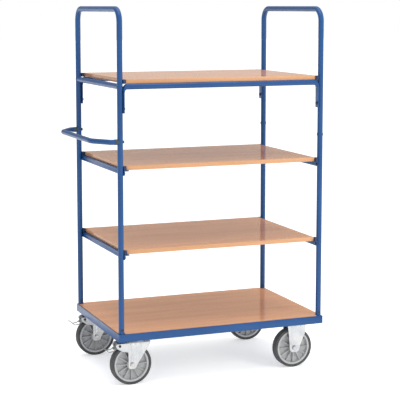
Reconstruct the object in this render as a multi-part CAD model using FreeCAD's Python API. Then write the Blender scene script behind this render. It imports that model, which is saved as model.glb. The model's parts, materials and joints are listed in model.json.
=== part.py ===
"""Four-deck shelf trolley, built from its separate pieces.

Sizes are millimetres. X runs along the trolley and the push handle is at its -X end, -Y is the
front and +Z is up. The pieces are laid out about the middle of the four posts, with the ground at
z = 0, and are moved along X as they are written, so that the origin is the bottom centre of the
trolley's overall box.
"""
import FreeCAD, Part
import math
import os
from FreeCAD import Placement, Rotation, Vector

X_AXIS = Vector(1, 0, 0)
Y_AXIS = Vector(0, 1, 0)
Z_AXIS = Vector(0, 0, 1)
ORIGIN = Vector(0, 0, 0)
ENDS = (("left", -1), ("right", 1))      # along X
SIDES = (("front", -1), ("rear", 1))     # along Y

# ---- Driving dimensions -------------------------------------------------------------------------

OVERALL_HEIGHT = 1800.0
POST_X = 517.5                 # half the spacing of the posts along X
POST_Y = 339.5                 # half their spacing along Y
POST_RADIUS = 13.45            # 3/4 inch pipe
TUBE_WALL = 2.0
END_FRAME_BEND = 60.0          # centreline radius of the upright frames' two top bends

FRAME_BOTTOM = 223.0
FRAME_TOP = 261.0
FRAME_WALL = 3.5
LEDGE_BOTTOM = 235.0           # castors are fixed to this face: the height of a 200 mm castor
LEDGE_TOP = 239.0
LEDGE_WIDTH = 30.0
DECK_TOP = 264.0
DECK_GAP = 0.5

SHELF_TOPS = {"lower": 660.0, "upper": 1059.0}
TOP_SHELF_TOP = 1463.0
BOARD_THICKNESS = 20.0
BOARD_HALF_LENGTH = 490.0
BOARD_HALF_DEPTH = 340.0
BOARD_CORNER = 3.0

BEARER_WALL = 4.0
BEARER_HEIGHT = 24.0
BEARER_WIDTH = 25.0

RAIL_LEG_THICKNESS = 6.0       # flattened ends of the top shelf's long rails
RAIL_LEG_WIDTH = 34.0
RAIL_LEG_BOTTOM = 1306.0
RAIL_BEND_INSIDE = 17.0        # radius of the inside of the bend, where the tube is pressed flat
RAIL_FLATTENING = 2.6          # how late in the bend the tube goes flat
RAIL_LEG_SQUARENESS = 0.28     # exponent of the flat end's outline: 1 is round, 0 is square
RAIL_BEND_STEPS = 8
RAIL_SECTION_POINTS = 20

HANDLE_Z = 1173.0
HANDLE_RADIUS = 12.5
HANDLE_REACH = 112.0           # from the posts' centre to the grip's centre
HANDLE_GRIP_HALF = 240.0
HANDLE_BEND = 60.0
COLLAR_LENGTH = 14.0

BOLT_RADIUS = 4.0              # M8, used for every joint between tubes
BOLT_HEAD_FLATS = 13.0
BOLT_HEAD_HEIGHT = 5.3
NUT_HEIGHT = 6.5
BOLT_END_SPARE = 2.0
CAPTIVE_NUT_SEAT = 7.55        # from a post's middle to the face of the nut held inside it
SHELF_BOLT_DROP = 34.0         # below a middle shelf's top face
RAIL_BOLT_Z = 1327.0
POST_SCREW_Z = 280.0

WHEEL_RADIUS = 100.0
WHEEL_Y = 290.0
TYRE_INNER = 86.0
TYRE_HALF_WIDTH = 20.0
TYRE_SHOULDER = 7.0
HUB_RADIUS = 24.0
HUB_HALF_WIDTH = 25.5
RIM_HALF_WIDTH = 18.0
RIM_BAND_INNER = 75.0
RIM_WEB_HALF = 2.5
RIM_RIBS = 12
RIM_RIB_HALF_WIDTH = 1.6
BEARING_OUTER = 12.0
BEARING_HALF_WIDTH = 26.5
AXLE_RADIUS = 6.0
RUNNING_CLEARANCE = 0.05       # radial, wherever one piece turns on another

FORK_INNER = 27.0              # inside face of a fork's cheek, from the wheel's middle plane
FORK_WALL = 4.0
FORK_CORNER = 8.0
SWIVEL_X = -415.0              # kingpins
SWIVEL_TRAIL = 42.0            # the wheel stands this far behind its kingpin
SWIVEL_CROWN_TOP = 213.0
FIXED_AXLE_X = 397.0
FIXED_PLATE_X = 405.0
PLATE_THICKNESS = 6.0
PLATE_LENGTH = 135.0
PLATE_WIDTH = 110.0
PLATE_HOLES_X = 105.0
PLATE_HOLES_Y = 80.0
CASTOR_BOLT_RADIUS = 5.0       # M10
CASTOR_BOLT_FLATS = 17.0
CASTOR_BOLT_HEAD = 6.4
CASTOR_NUT_HEIGHT = 8.0

KINGPIN_RADIUS = 8.0
RACE_RADIUS = 24.0             # circle of the ball centres
BALL_RADIUS = 3.5
BALLS = 16
PEDAL_PIVOT_X = -62.0          # from the axle
PEDAL_PIVOT_Z = 196.0
PEDAL_PIN_RADIUS = 4.0
PEDAL_HALF_WIDTH = 26.0
PEDAL_WALL = 3.5
BRAKE_CAM_RADIUS = 13.4        # stays just clear of the tyre at every pedal angle

# ---- Sizes that follow from them ----------------------------------------------------------------

FRAME_HALF_LENGTH = POST_X + POST_RADIUS + FRAME_WALL + 0.05
FRAME_HALF_DEPTH = POST_Y + POST_RADIUS + FRAME_WALL + 0.05
LEDGE_INNER_X = FRAME_HALF_LENGTH - FRAME_WALL - LEDGE_WIDTH
LEDGE_INNER_Y = FRAME_HALF_DEPTH - FRAME_WALL - LEDGE_WIDTH
POST_INNER_X = POST_X - POST_RADIUS
RAIL_BEND_X = POST_INNER_X - RAIL_LEG_THICKNESS - RAIL_BEND_INSIDE
END_FRAME_TOP = OVERALL_HEIGHT - POST_RADIUS
TOP_RAIL_Z = TOP_SHELF_TOP - BOARD_THICKNESS - POST_RADIUS
HANDLE_X = -POST_X - HANDLE_REACH
CENTRE_X = (HANDLE_X - HANDLE_RADIUS + FRAME_HALF_LENGTH) / 2
SHELF_BOLT_HEIGHTS = [top - SHELF_BOLT_DROP for top in SHELF_TOPS.values()]
SWIVEL_AXLE_X = SWIVEL_X - SWIVEL_TRAIL
FORK_OUTER = FORK_INNER + FORK_WALL
CASTOR_PLATES = ((SWIVEL_X, "left"), (FIXED_PLATE_X, "right"))


# ---- Shapes -------------------------------------------------------------------------------------

def block(low, high):
    """Box between two opposite corners."""
    size = Vector(*high) - Vector(*low)
    return Part.makeBox(size.x, size.y, size.z, Vector(*low))


def centred_block(centre, size):
    """Box about its centre."""
    half = Vector(*size) * 0.5
    return block(Vector(*centre) - half, Vector(*centre) + half)


def rod(start, end, radius):
    """Round bar between two points."""
    start = Vector(*start)
    run = Vector(*end) - start
    return Part.makeCylinder(radius, run.Length, start, run)


def hollow_rod(start, end, radius, bore):
    """Round bar with a bore along it."""
    return rod(start, end, radius).cut(rod(start, end, bore))


def hexagon(start, direction, across_flats, height):
    """Hexagonal prism that stands on a point."""
    corner = across_flats / math.sqrt(3)
    points = [Vector(corner * math.cos(math.radians(60 * i)), corner * math.sin(math.radians(60 * i)), 0)
              for i in range(7)]
    prism = Part.Face(Part.makePolygon(points)).extrude(Z_AXIS * height)
    prism.Placement = Placement(Vector(*start), Rotation(Z_AXIS, direction))
    return prism


def rounded_wire(points, radii, closed=False):
    """Straight runs through the points, with an arc of its own radius at each corner."""
    count = len(points)
    entries, exits, arcs = [], [], []
    for i, corner in enumerate(points):
        at_end = not closed and i in (0, count - 1)
        if at_end or radii[i] == 0:
            entries.append(corner)
            exits.append(corner)
            arcs.append(None)
            continue
        back = (points[i - 1] - corner).normalize()
        ahead = (points[(i + 1) % count] - corner).normalize()
        half_angle = back.getAngle(ahead) / 2
        reach = radii[i] / math.tan(half_angle)
        middle = corner + (back + ahead).normalize() * (radii[i] / math.sin(half_angle) - radii[i])
        entries.append(corner + back * reach)
        exits.append(corner + ahead * reach)
        arcs.append(Part.Arc(entries[i], middle, exits[i]).toShape())
    edges = []
    for i in range(count):
        if arcs[i] is not None:
            edges.append(arcs[i])
        if i < count - 1 or closed:
            edges.append(Part.LineSegment(exits[i], entries[(i + 1) % count]).toShape())
    return Part.Wire(edges)


def bent_tube(points, radii, radius, wall):
    """Hollow round tube along straight runs joined by arcs."""
    path = rounded_wire([Vector(*p) for p in points], radii)
    direction = Vector(*points[1]) - Vector(*points[0])

    def core(section_radius):
        circle = Part.Wire([Part.Circle(Vector(*points[0]), direction, section_radius).toShape()])
        return path.makePipeShell([circle], True, True)

    return core(radius).cut(core(radius - wall))


def side_plate(outline, radii, y_low, y_high):
    """Plate cut to an outline of (x, z) points, between two values of y."""
    wire = rounded_wire([Vector(x, y_low, z) for x, z in outline], radii, closed=True)
    return Part.Face(wire).extrude(Y_AXIS * (y_high - y_low))


def turned(outline, centre):
    """Body turned about the Y axis through a point, from (radius, y) points."""
    points = [Vector(r, y, 0) for r, y in outline]
    face = Part.Face(Part.makePolygon(points + points[:1]))
    body = face.revolve(ORIGIN, Y_AXIS, 360)
    body.translate(Vector(*centre))
    return body


def rounded_board(half_length, half_depth, bottom, top, corner):
    """Rectangular board with slightly rounded corners."""
    points = [Vector(sx * half_length, sy * half_depth, bottom)
              for sx, sy in ((-1, -1), (1, -1), (1, 1), (-1, 1))]
    return Part.Face(rounded_wire(points, [corner] * 4, closed=True)).extrude(Z_AXIS * (top - bottom))


def keep(name, pieces):
    """Move a node to the trolley's own origin and write it."""
    shape = pieces if isinstance(pieces, Part.Shape) else Part.makeCompound(pieces)
    placed = shape.copy()
    placed.translate(Vector(-CENTRE_X, 0, 0))
    placed.exportStep(f"parts/{name}.step")
    print(f"{name:28s} solids {len(placed.Solids):3d}  volume {placed.Volume / 1000:9.1f} cm3  "
          f"valid {placed.isValid()}")


# ---- Base ---------------------------------------------------------------------------------------

def castor_bolt_points():
    """Place of every castor bolt, four in each plate."""
    return [(plate_x + sx * PLATE_HOLES_X / 2, sy * WHEEL_Y + oy * PLATE_HOLES_Y / 2)
            for plate_x, _ in CASTOR_PLATES for sy in (-1, 1) for sx in (-1, 1) for oy in (-1, 1)]


def drilled(shape, low, high, radius):
    """Shape with every castor bolt's hole between two heights."""
    for x, y in castor_bolt_points():
        shape = shape.cut(rod((x, y, low), (x, y, high), radius))
    return shape


def base_rail(length_half, depth_half, along):
    """Steel rail with an inner ledge, mitred at both ends, on the negative side."""
    across = Y_AXIS if along == X_AXIS else X_AXIS
    upright = [along * -length_half - across * depth_half, along * length_half - across * depth_half]
    inset = FRAME_WALL + LEDGE_WIDTH
    upright += [along * (length_half - inset) - across * (depth_half - inset),
                along * (inset - length_half) - across * (depth_half - inset)]
    mitred = Part.Face(Part.makePolygon(upright + upright[:1])).extrude(Z_AXIS * FRAME_TOP)
    outer = along * length_half + across * depth_half
    wall_inner = along * length_half + across * (FRAME_WALL - depth_half)
    ledge_inner = along * length_half + across * (inset - depth_half)
    wall = block(-outer + Z_AXIS * FRAME_BOTTOM, wall_inner + Z_AXIS * FRAME_TOP)
    ledge = block(-outer + Z_AXIS * LEDGE_BOTTOM, ledge_inner + Z_AXIS * LEDGE_TOP)
    return mitred.common(wall.fuse(ledge)).removeSplitter()


def make_base():
    hole = CASTOR_BOLT_RADIUS + 0.5
    rails = {"base_front_rail": base_rail(FRAME_HALF_LENGTH, FRAME_HALF_DEPTH, X_AXIS),
             "base_left_rail": base_rail(FRAME_HALF_DEPTH, FRAME_HALF_LENGTH, Y_AXIS)}
    rails["base_rear_rail"] = rails["base_front_rail"].mirror(ORIGIN, Y_AXIS)
    rails["base_right_rail"] = rails["base_left_rail"].mirror(ORIGIN, X_AXIS)
    for name, rail in rails.items():
        keep(name, drilled(rail, LEDGE_BOTTOM - 1, LEDGE_TOP + 1, hole))

    for plate_x, end in CASTOR_PLATES:
        plate = centred_block((plate_x, 0, (LEDGE_BOTTOM + LEDGE_TOP) / 2),
                              (PLATE_LENGTH + 15, 2 * LEDGE_INNER_Y, LEDGE_TOP - LEDGE_BOTTOM))
        keep(f"castor_cross_plate_{end}", drilled(plate, LEDGE_BOTTOM - 1, LEDGE_TOP + 1, hole))

    width, height, wall, spacing = 30.0, 15.0, 2.0, 240.0
    tubes = []
    for sx in (-1, 1):
        centre = (sx * spacing / 2, 0, LEDGE_TOP - height / 2)
        outside = centred_block(centre, (width, 2 * LEDGE_INNER_Y, height))
        bore = centred_block(centre, (width - 2 * wall, 2 * LEDGE_INNER_Y, height - 2 * wall))
        tubes.append(outside.cut(bore))
    keep("deck_cross_tubes", tubes)

    inside_x = FRAME_HALF_LENGTH - FRAME_WALL - DECK_GAP
    inside_y = FRAME_HALF_DEPTH - FRAME_WALL - DECK_GAP
    deck = rounded_board(inside_x, inside_y, LEDGE_TOP, DECK_TOP, BOARD_CORNER)
    for _, sx in ENDS:
        for _, sy in SIDES:
            past_edge = 10.0
            half = POST_RADIUS + 1.5 + past_edge
            notch = rounded_board(half, half, LEDGE_TOP, DECK_TOP, POST_RADIUS)
            notch.translate(Vector(sx * (POST_X + past_edge), sy * (POST_Y + past_edge), 0))
            deck = deck.cut(notch)
    pocket = 11.0                      # clears a castor bolt's head under the board
    keep("base_deck", drilled(deck, LEDGE_TOP - 1, LEDGE_TOP + 9, pocket))

    bolts, nuts = [], []
    plate_bottom = LEDGE_BOTTOM - PLATE_THICKNESS
    for x, y in castor_bolt_points():
        nut_bottom = plate_bottom - CASTOR_NUT_HEIGHT
        shank = rod((x, y, nut_bottom - BOLT_END_SPARE), (x, y, LEDGE_TOP), CASTOR_BOLT_RADIUS)
        bolts.append(hexagon((x, y, LEDGE_TOP), Z_AXIS, CASTOR_BOLT_FLATS, CASTOR_BOLT_HEAD).fuse(shank))
        nut = hexagon((x, y, nut_bottom), Z_AXIS, CASTOR_BOLT_FLATS, CASTOR_NUT_HEIGHT)
        nuts.append(nut.cut(rod((x, y, nut_bottom), (x, y, plate_bottom), CASTOR_BOLT_RADIUS)))
    keep("castor_bolts", bolts)
    keep("castor_nuts", nuts)


# ---- Upright end frames -------------------------------------------------------------------------

def make_end_frames():
    screw_radius, head_radius, head_height = 3.5, 6.0, 3.0
    screws = []
    for end, sx in ENDS:
        x = sx * POST_X
        points = [(x, -POST_Y, LEDGE_TOP), (x, -POST_Y, END_FRAME_TOP), (x, POST_Y, END_FRAME_TOP),
                  (x, POST_Y, LEDGE_TOP)]
        frame = bent_tube(points, [0, END_FRAME_BEND, END_FRAME_BEND, 0], POST_RADIUS, TUBE_WALL)
        for _, sy in SIDES:
            frame = frame.cut(rod((x - 20, sy * POST_Y, HANDLE_Z), (x + 20, sy * POST_Y, HANDLE_Z),
                                  BOLT_RADIUS))
            for z in SHELF_BOLT_HEIGHTS + [RAIL_BOLT_Z]:
                frame = frame.cut(rod((x - sx * 20, sy * POST_Y, z), (x, sy * POST_Y, z), BOLT_RADIUS))
            face_y = sy * POST_Y - POST_RADIUS
            shank = rod((x, face_y, POST_SCREW_Z), (x, face_y + 2 * POST_RADIUS, POST_SCREW_Z), screw_radius)
            frame = frame.cut(shank)
            head = Part.makeCone(head_radius, head_radius - 2, head_height,
                                 Vector(x, face_y, POST_SCREW_Z), -Y_AXIS)
            saddle = rod((x, sy * POST_Y, POST_SCREW_Z - 10), (x, sy * POST_Y, POST_SCREW_Z + 10),
                         POST_RADIUS)
            seat = rod((x, face_y + 2, POST_SCREW_Z), (x, face_y, POST_SCREW_Z), head_radius).cut(saddle)
            socket = hexagon((x, face_y - head_height + 1.8, POST_SCREW_Z), -Y_AXIS, 4.0, 2.0)
            screws.append(shank.fuse([head, seat]).cut(socket))
        keep(f"{end}_end_frame", frame)
    keep("post_screws", screws)


# ---- Shelves ------------------------------------------------------------------------------------

def make_top_shelf():
    keep("top_board", rounded_board(BOARD_HALF_LENGTH, BOARD_HALF_DEPTH, TOP_SHELF_TOP - BOARD_THICKNESS,
                                    TOP_SHELF_TOP, BOARD_CORNER))
    for end, sx in ENDS:
        x = sx * POST_X
        rail = hollow_rod((x, -POST_Y, TOP_RAIL_Z), (x, POST_Y, TOP_RAIL_Z), POST_RADIUS,
                          POST_RADIUS - TUBE_WALL)
        for _, sy in SIDES:
            post = rod((x, sy * POST_Y, TOP_RAIL_Z - 30), (x, sy * POST_Y, TOP_RAIL_Z + 30), POST_RADIUS)
            rail = rail.cut(post)
        keep(f"top_{end}_rail", rail)
    for side, sy in SIDES:
        keep(f"top_{side}_rail", long_rail(sy * POST_Y))


def rail_section(angle, sx, y):
    """Outline of a long rail's tube at an angle into its bend, as a closed wire."""
    roundness = math.cos(angle) ** RAIL_FLATTENING
    thickness = RAIL_LEG_THICKNESS + (2 * POST_RADIUS - RAIL_LEG_THICKNESS) * roundness
    half_width = POST_RADIUS + (RAIL_LEG_WIDTH / 2 - POST_RADIUS) * (1 - roundness)
    power = 1 - (1 - RAIL_LEG_SQUARENESS) * (1 - roundness)
    centre = Vector(sx * RAIL_BEND_X, y, TOP_RAIL_Z - POST_RADIUS - RAIL_BEND_INSIDE)
    outward = Vector(sx * math.sin(angle), 0, math.cos(angle))
    points = []
    for i in range(RAIL_SECTION_POINTS):
        turn = 2 * math.pi * i / RAIL_SECTION_POINTS
        side = math.copysign(abs(math.cos(turn)) ** power, math.cos(turn))
        rise = math.copysign(abs(math.sin(turn)) ** power, math.sin(turn))
        reach = RAIL_BEND_INSIDE + thickness * (1 + rise) / 2
        points.append(centre + outward * reach + Y_AXIS * (half_width * side))
    return Part.makePolygon(points + points[:1])


def long_rail(y):
    """Tube along X whose ends bend down, are pressed flat in the bend and run down the posts' inner faces."""
    rail = hollow_rod((-RAIL_BEND_X, y, TOP_RAIL_Z), (RAIL_BEND_X, y, TOP_RAIL_Z), POST_RADIUS,
                      POST_RADIUS - TUBE_WALL)
    angles = [math.pi / 2 * i / RAIL_BEND_STEPS for i in range(RAIL_BEND_STEPS)]
    for _, sx in ENDS:
        leg_top = rail_section(math.pi / 2, sx, y)
        bend = Part.makeLoft([rail_section(angle, sx, y) for angle in angles] + [leg_top], True, True)
        leg = Part.Face(leg_top).extrude(Z_AXIS * (RAIL_LEG_BOTTOM - leg_top.BoundBox.ZMin))
        bolt_hole = rod((sx * (POST_INNER_X - 20), y, RAIL_BOLT_Z), (sx * POST_INNER_X, y, RAIL_BOLT_Z),
                        BOLT_RADIUS)
        rail = rail.fuse([bend, leg.cut(bolt_hole)])
    return rail.removeSplitter()


def make_middle_shelves():
    for shelf, top in SHELF_TOPS.items():
        board_bottom = top - BOARD_THICKNESS
        keep(f"{shelf}_shelf_board", rounded_board(BOARD_HALF_LENGTH, BOARD_HALF_DEPTH, board_bottom, top,
                                                   BOARD_CORNER))
        for end, sx in ENDS:
            half_depth = POST_Y + POST_RADIUS
            upright_x = sx * (POST_INNER_X - BEARER_WALL / 2)
            flange_x = sx * (POST_INNER_X - BEARER_WIDTH / 2)
            upright = centred_block((upright_x, 0, board_bottom - BEARER_HEIGHT / 2),
                                    (BEARER_WALL, 2 * half_depth, BEARER_HEIGHT))
            flange = centred_block((flange_x, 0, board_bottom - BEARER_WALL / 2),
                                   (BEARER_WIDTH, 2 * half_depth, BEARER_WALL))
            bearer = upright.fuse(flange).removeSplitter()
            for _, sy in SIDES:
                z = top - SHELF_BOLT_DROP
                bearer = bearer.cut(rod((sx * (POST_INNER_X - 10), sy * POST_Y, z),
                                        (sx * (POST_INNER_X + 10), sy * POST_Y, z), BOLT_RADIUS))
            keep(f"{shelf}_bearer_{end}", bearer)


def make_shelf_stops():
    """Blocks between the three upper boards' corners and the posts."""
    length, height = POST_INNER_X - BOARD_HALF_LENGTH, BOARD_THICKNESS - 1
    stops = []
    for top in [*SHELF_TOPS.values(), TOP_SHELF_TOP]:
        for _, sx in ENDS:
            for _, sy in SIDES:
                centre = (sx * (BOARD_HALF_LENGTH + length / 2), sy * (POST_Y - 1),
                          top - BOARD_THICKNESS + height / 2)
                stop = centred_block(centre, (length, 2 * POST_RADIUS - 1, height))
                stops.append(stop.makeFillet(1.0, stop.Edges))
    keep("shelf_stops", stops)


# ---- Handle and tube fasteners ------------------------------------------------------------------

def make_handle():
    post_face = -POST_X - POST_RADIUS
    tube_start = post_face - COLLAR_LENGTH
    straight_end = tube_start - 18
    points = [(tube_start, -POST_Y, HANDLE_Z), (straight_end, -POST_Y, HANDLE_Z),
              (HANDLE_X, -HANDLE_GRIP_HALF, HANDLE_Z), (HANDLE_X, HANDLE_GRIP_HALF, HANDLE_Z),
              (straight_end, POST_Y, HANDLE_Z), (tube_start, POST_Y, HANDLE_Z)]
    keep("push_handle", bent_tube(points, [0, 25, HANDLE_BEND, HANDLE_BEND, 25, 0], HANDLE_RADIUS, TUBE_WALL))
    collars = []
    for _, sy in SIDES:
        y = sy * POST_Y
        collar = hollow_rod((tube_start, y, HANDLE_Z), (-POST_X - 5, y, HANDLE_Z), HANDLE_RADIUS + 0.8,
                            BOLT_RADIUS)
        post = rod((-POST_X, y, HANDLE_Z - 30), (-POST_X, y, HANDLE_Z + 30), POST_RADIUS)
        collars.append(collar.cut(post))
    keep("handle_collars", collars)

    plug_radius, plug_height = 7.5, 0.6
    plugs = []
    for _, sy in SIDES:
        y = sy * POST_Y
        post = rod((POST_X, y, HANDLE_Z - 30), (POST_X, y, HANDLE_Z + 30), POST_RADIUS)
        for sx in (-1, 1):
            face = POST_X + sx * POST_RADIUS
            cap = rod((face - sx * 3, y, HANDLE_Z), (face + sx * plug_height, y, HANDLE_Z), plug_radius)
            stem = rod((face - sx * 8, y, HANDLE_Z), (face, y, HANDLE_Z), BOLT_RADIUS)
            plugs.append(cap.cut(post).fuse(stem).removeSplitter())
    keep("post_plugs", plugs)


def bolt_and_nut(head_face, nut_face, point, direction):
    """M8 bolt along X whose head and nut bear on two faces, and the nut."""
    y, z = point
    nut_end = nut_face + direction * NUT_HEIGHT
    head_start = head_face - direction * BOLT_HEAD_HEIGHT
    shank = rod((head_start + direction, y, z), (nut_end + direction * BOLT_END_SPARE, y, z), BOLT_RADIUS)
    head = hexagon((head_start, y, z), X_AXIS * direction, BOLT_HEAD_FLATS, BOLT_HEAD_HEIGHT)
    nut = hexagon((nut_face, y, z), X_AXIS * direction, BOLT_HEAD_FLATS, NUT_HEIGHT)
    flange = rod((nut_face, y, z), (nut_face + direction * 1.4, y, z), BOLT_HEAD_FLATS * 0.66)
    nut = nut.fuse(flange).cut(rod((nut_face, y, z), (nut_end, y, z), BOLT_RADIUS))
    return head.fuse(shank), nut


def make_tube_fasteners():
    bolts, nuts = [], []
    for _, sx in ENDS:
        for _, sy in SIDES:
            y = sy * POST_Y
            places = [(z, BEARER_WALL) for z in SHELF_BOLT_HEIGHTS] + [(RAIL_BOLT_Z, RAIL_LEG_THICKNESS)]
            for z, clamped in places:
                head_face = sx * (POST_INNER_X - clamped)
                bolt, nut = bolt_and_nut(head_face, sx * (POST_X - CAPTIVE_NUT_SEAT), (y, z), sx)
                bolts.append(bolt)
                nuts.append(nut)
    for _, sy in SIDES:
        tube_start = -POST_X - POST_RADIUS - COLLAR_LENGTH
        bolt, nut = bolt_and_nut(-POST_INNER_X, tube_start, (sy * POST_Y, HANDLE_Z), -1)
        bolts.append(bolt)
        nuts.append(nut)
    keep("frame_bolts", bolts)
    keep("frame_nuts", nuts)


# ---- Castors ------------------------------------------------------------------------------------

def wheel(prefix, axle_x, y):
    """Rim with ribs, tyre and bearing sleeve about an axle."""
    centre = (axle_x, y, WHEEL_RADIUS)
    rim = turned([(BEARING_OUTER, -HUB_HALF_WIDTH), (HUB_RADIUS - 3, -HUB_HALF_WIDTH),
                  (HUB_RADIUS, -HUB_HALF_WIDTH + 5), (HUB_RADIUS, -RIM_WEB_HALF),
                  (RIM_BAND_INNER, -RIM_WEB_HALF), (RIM_BAND_INNER + 2, -RIM_HALF_WIDTH),
                  (TYRE_INNER, -RIM_HALF_WIDTH), (TYRE_INNER, RIM_HALF_WIDTH),
                  (RIM_BAND_INNER + 2, RIM_HALF_WIDTH), (RIM_BAND_INNER, RIM_WEB_HALF),
                  (HUB_RADIUS, RIM_WEB_HALF), (HUB_RADIUS, HUB_HALF_WIDTH - 5),
                  (HUB_RADIUS - 3, HUB_HALF_WIDTH), (BEARING_OUTER, HUB_HALF_WIDTH)], centre)
    for i in range(RIM_RIBS):
        inner, outer = HUB_RADIUS - 2, RIM_BAND_INNER + 3
        high, low = HUB_HALF_WIDTH - 7, RIM_HALF_WIDTH - 4
        outline = [Vector(inner, -high, 0), Vector(outer, -low, 0), Vector(outer, low, 0),
                   Vector(inner, high, 0)]
        rib = Part.Face(Part.makePolygon(outline + outline[:1])).extrude(Z_AXIS * 2 * RIM_RIB_HALF_WIDTH)
        rib.translate(Vector(0, 0, -RIM_RIB_HALF_WIDTH))
        rib.rotate(ORIGIN, Y_AXIS, 360 * i / RIM_RIBS)
        rib.translate(Vector(*centre))
        rim = rim.fuse(rib)
    keep(f"{prefix}_rim", rim.removeSplitter())

    tyre = hollow_rod((axle_x, y - TYRE_HALF_WIDTH, WHEEL_RADIUS),
                      (axle_x, y + TYRE_HALF_WIDTH, WHEEL_RADIUS), WHEEL_RADIUS, TYRE_INNER)
    shoulders = [edge for edge in tyre.Edges
                 if edge.Length > 2 * math.pi * (WHEEL_RADIUS - 1) and abs(edge.CenterOfMass.y - y) > 1]
    keep(f"{prefix}_tyre", tyre.makeFillet(TYRE_SHOULDER, shoulders))

    sleeve = hollow_rod((axle_x, y - BEARING_HALF_WIDTH, WHEEL_RADIUS),
                        (axle_x, y + BEARING_HALF_WIDTH, WHEEL_RADIUS),
                        BEARING_OUTER, AXLE_RADIUS + RUNNING_CLEARANCE)
    keep(f"{prefix}_bearing", sleeve)


def axle(prefix, axle_x, y):
    """Axle bolt through the fork's cheeks, head to the front, with its nut."""
    flats, head_height, nut_height = 19.0, 7.5, 10.0
    z = WHEEL_RADIUS
    head = hexagon((axle_x, y - FORK_OUTER, z), -Y_AXIS, flats, head_height)
    shank = rod((axle_x, y - FORK_OUTER - 1, z), (axle_x, y + FORK_OUTER + nut_height + 3, z), AXLE_RADIUS)
    nut = hexagon((axle_x, y + FORK_OUTER, z), Y_AXIS, flats, nut_height)
    bore = rod((axle_x, y + FORK_OUTER, z), (axle_x, y + FORK_OUTER + nut_height, z), AXLE_RADIUS)
    keep(f"{prefix}_axle", [head.fuse(shank), nut.cut(bore)])


def folded_fork(outline, radii, top, axle_x, y):
    """Pressed fork: a sheet folded over the wheel, its cheeks cut to an outline of (x, z) points."""
    xs = [x for x, _ in outline]
    bottom = min(z for _, z in outline)
    section = [Vector(min(xs), -FORK_OUTER, bottom), Vector(min(xs), -FORK_OUTER, top),
               Vector(min(xs), FORK_OUTER, top), Vector(min(xs), FORK_OUTER, bottom)]
    inner = [Vector(min(xs), -FORK_INNER, bottom), Vector(min(xs), -FORK_INNER, top - FORK_WALL),
             Vector(min(xs), FORK_INNER, top - FORK_WALL), Vector(min(xs), FORK_INNER, bottom)]
    length = X_AXIS * (max(xs) - min(xs))
    outside = Part.Face(rounded_wire(section, [0, FORK_CORNER, FORK_CORNER, 0], closed=True)).extrude(length)
    inner_corner = FORK_CORNER - FORK_WALL
    hollow = Part.Face(rounded_wire(inner, [0, inner_corner, inner_corner, 0], closed=True)).extrude(length)
    fork = outside.cut(hollow).common(side_plate(outline, radii, -FORK_OUTER, FORK_OUTER))
    fork.translate(Vector(axle_x, y, 0))
    return fork


def press_ribs(fork, axle_x, y, ribs):
    """Raise upright ribs, given as (x, low z, high z) from the axle, on both cheeks."""
    radius, proud = 3.5, 1.6
    for x, low, high in ribs:
        for sy in (-1, 1):
            rib_y = y + sy * (FORK_OUTER + proud - radius)
            bar = rod((axle_x + x, rib_y, low), (axle_x + x, rib_y, high), radius)
            for z in (low, high):
                bar = bar.fuse(Part.makeSphere(radius, Vector(axle_x + x, rib_y, z)))
            inside = centred_block((axle_x + x, y, (low + high) / 2),
                                   (20, 2 * FORK_INNER + 2, high - low + 20))
            fork = fork.fuse(bar.cut(inside))
    return fork


def axle_hole(axle_x, y):
    past = FORK_OUTER + 5
    return rod((axle_x, y - past, WHEEL_RADIUS), (axle_x, y + past, WHEEL_RADIUS), AXLE_RADIUS)


def make_fixed_castor(side, sy):
    prefix = f"right_{side}"
    y = sy * WHEEL_Y
    top = LEDGE_BOTTOM - PLATE_THICKNESS
    outline = [(-22, 78), (24, 78), (30, 108), (58, 172), (62, top), (-38, top), (-30, 160)]
    fork = folded_fork(outline, [18, 18, 10, 12, 0, 0, 20], top, FIXED_AXLE_X, y)
    plate = mounting_plate(FIXED_PLATE_X, y)
    fork = press_ribs(fork, FIXED_AXLE_X, y, [(-16, 120, 208), (34, 150, 208)])
    keep(f"{prefix}_fork", fork.fuse(plate).cut(axle_hole(FIXED_AXLE_X, y)).removeSplitter())
    axle(prefix, FIXED_AXLE_X, y)
    wheel(prefix, FIXED_AXLE_X, y)


def mounting_plate(x, y):
    """Castor plate with rounded corners and four bolt holes."""
    plate = rounded_board(PLATE_LENGTH / 2, PLATE_WIDTH / 2, LEDGE_BOTTOM - PLATE_THICKNESS, LEDGE_BOTTOM, 10)
    plate.translate(Vector(x, y, 0))
    return drilled(plate, LEDGE_BOTTOM - PLATE_THICKNESS - 1, LEDGE_BOTTOM + 1, CASTOR_BOLT_RADIUS + 0.5)


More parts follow.
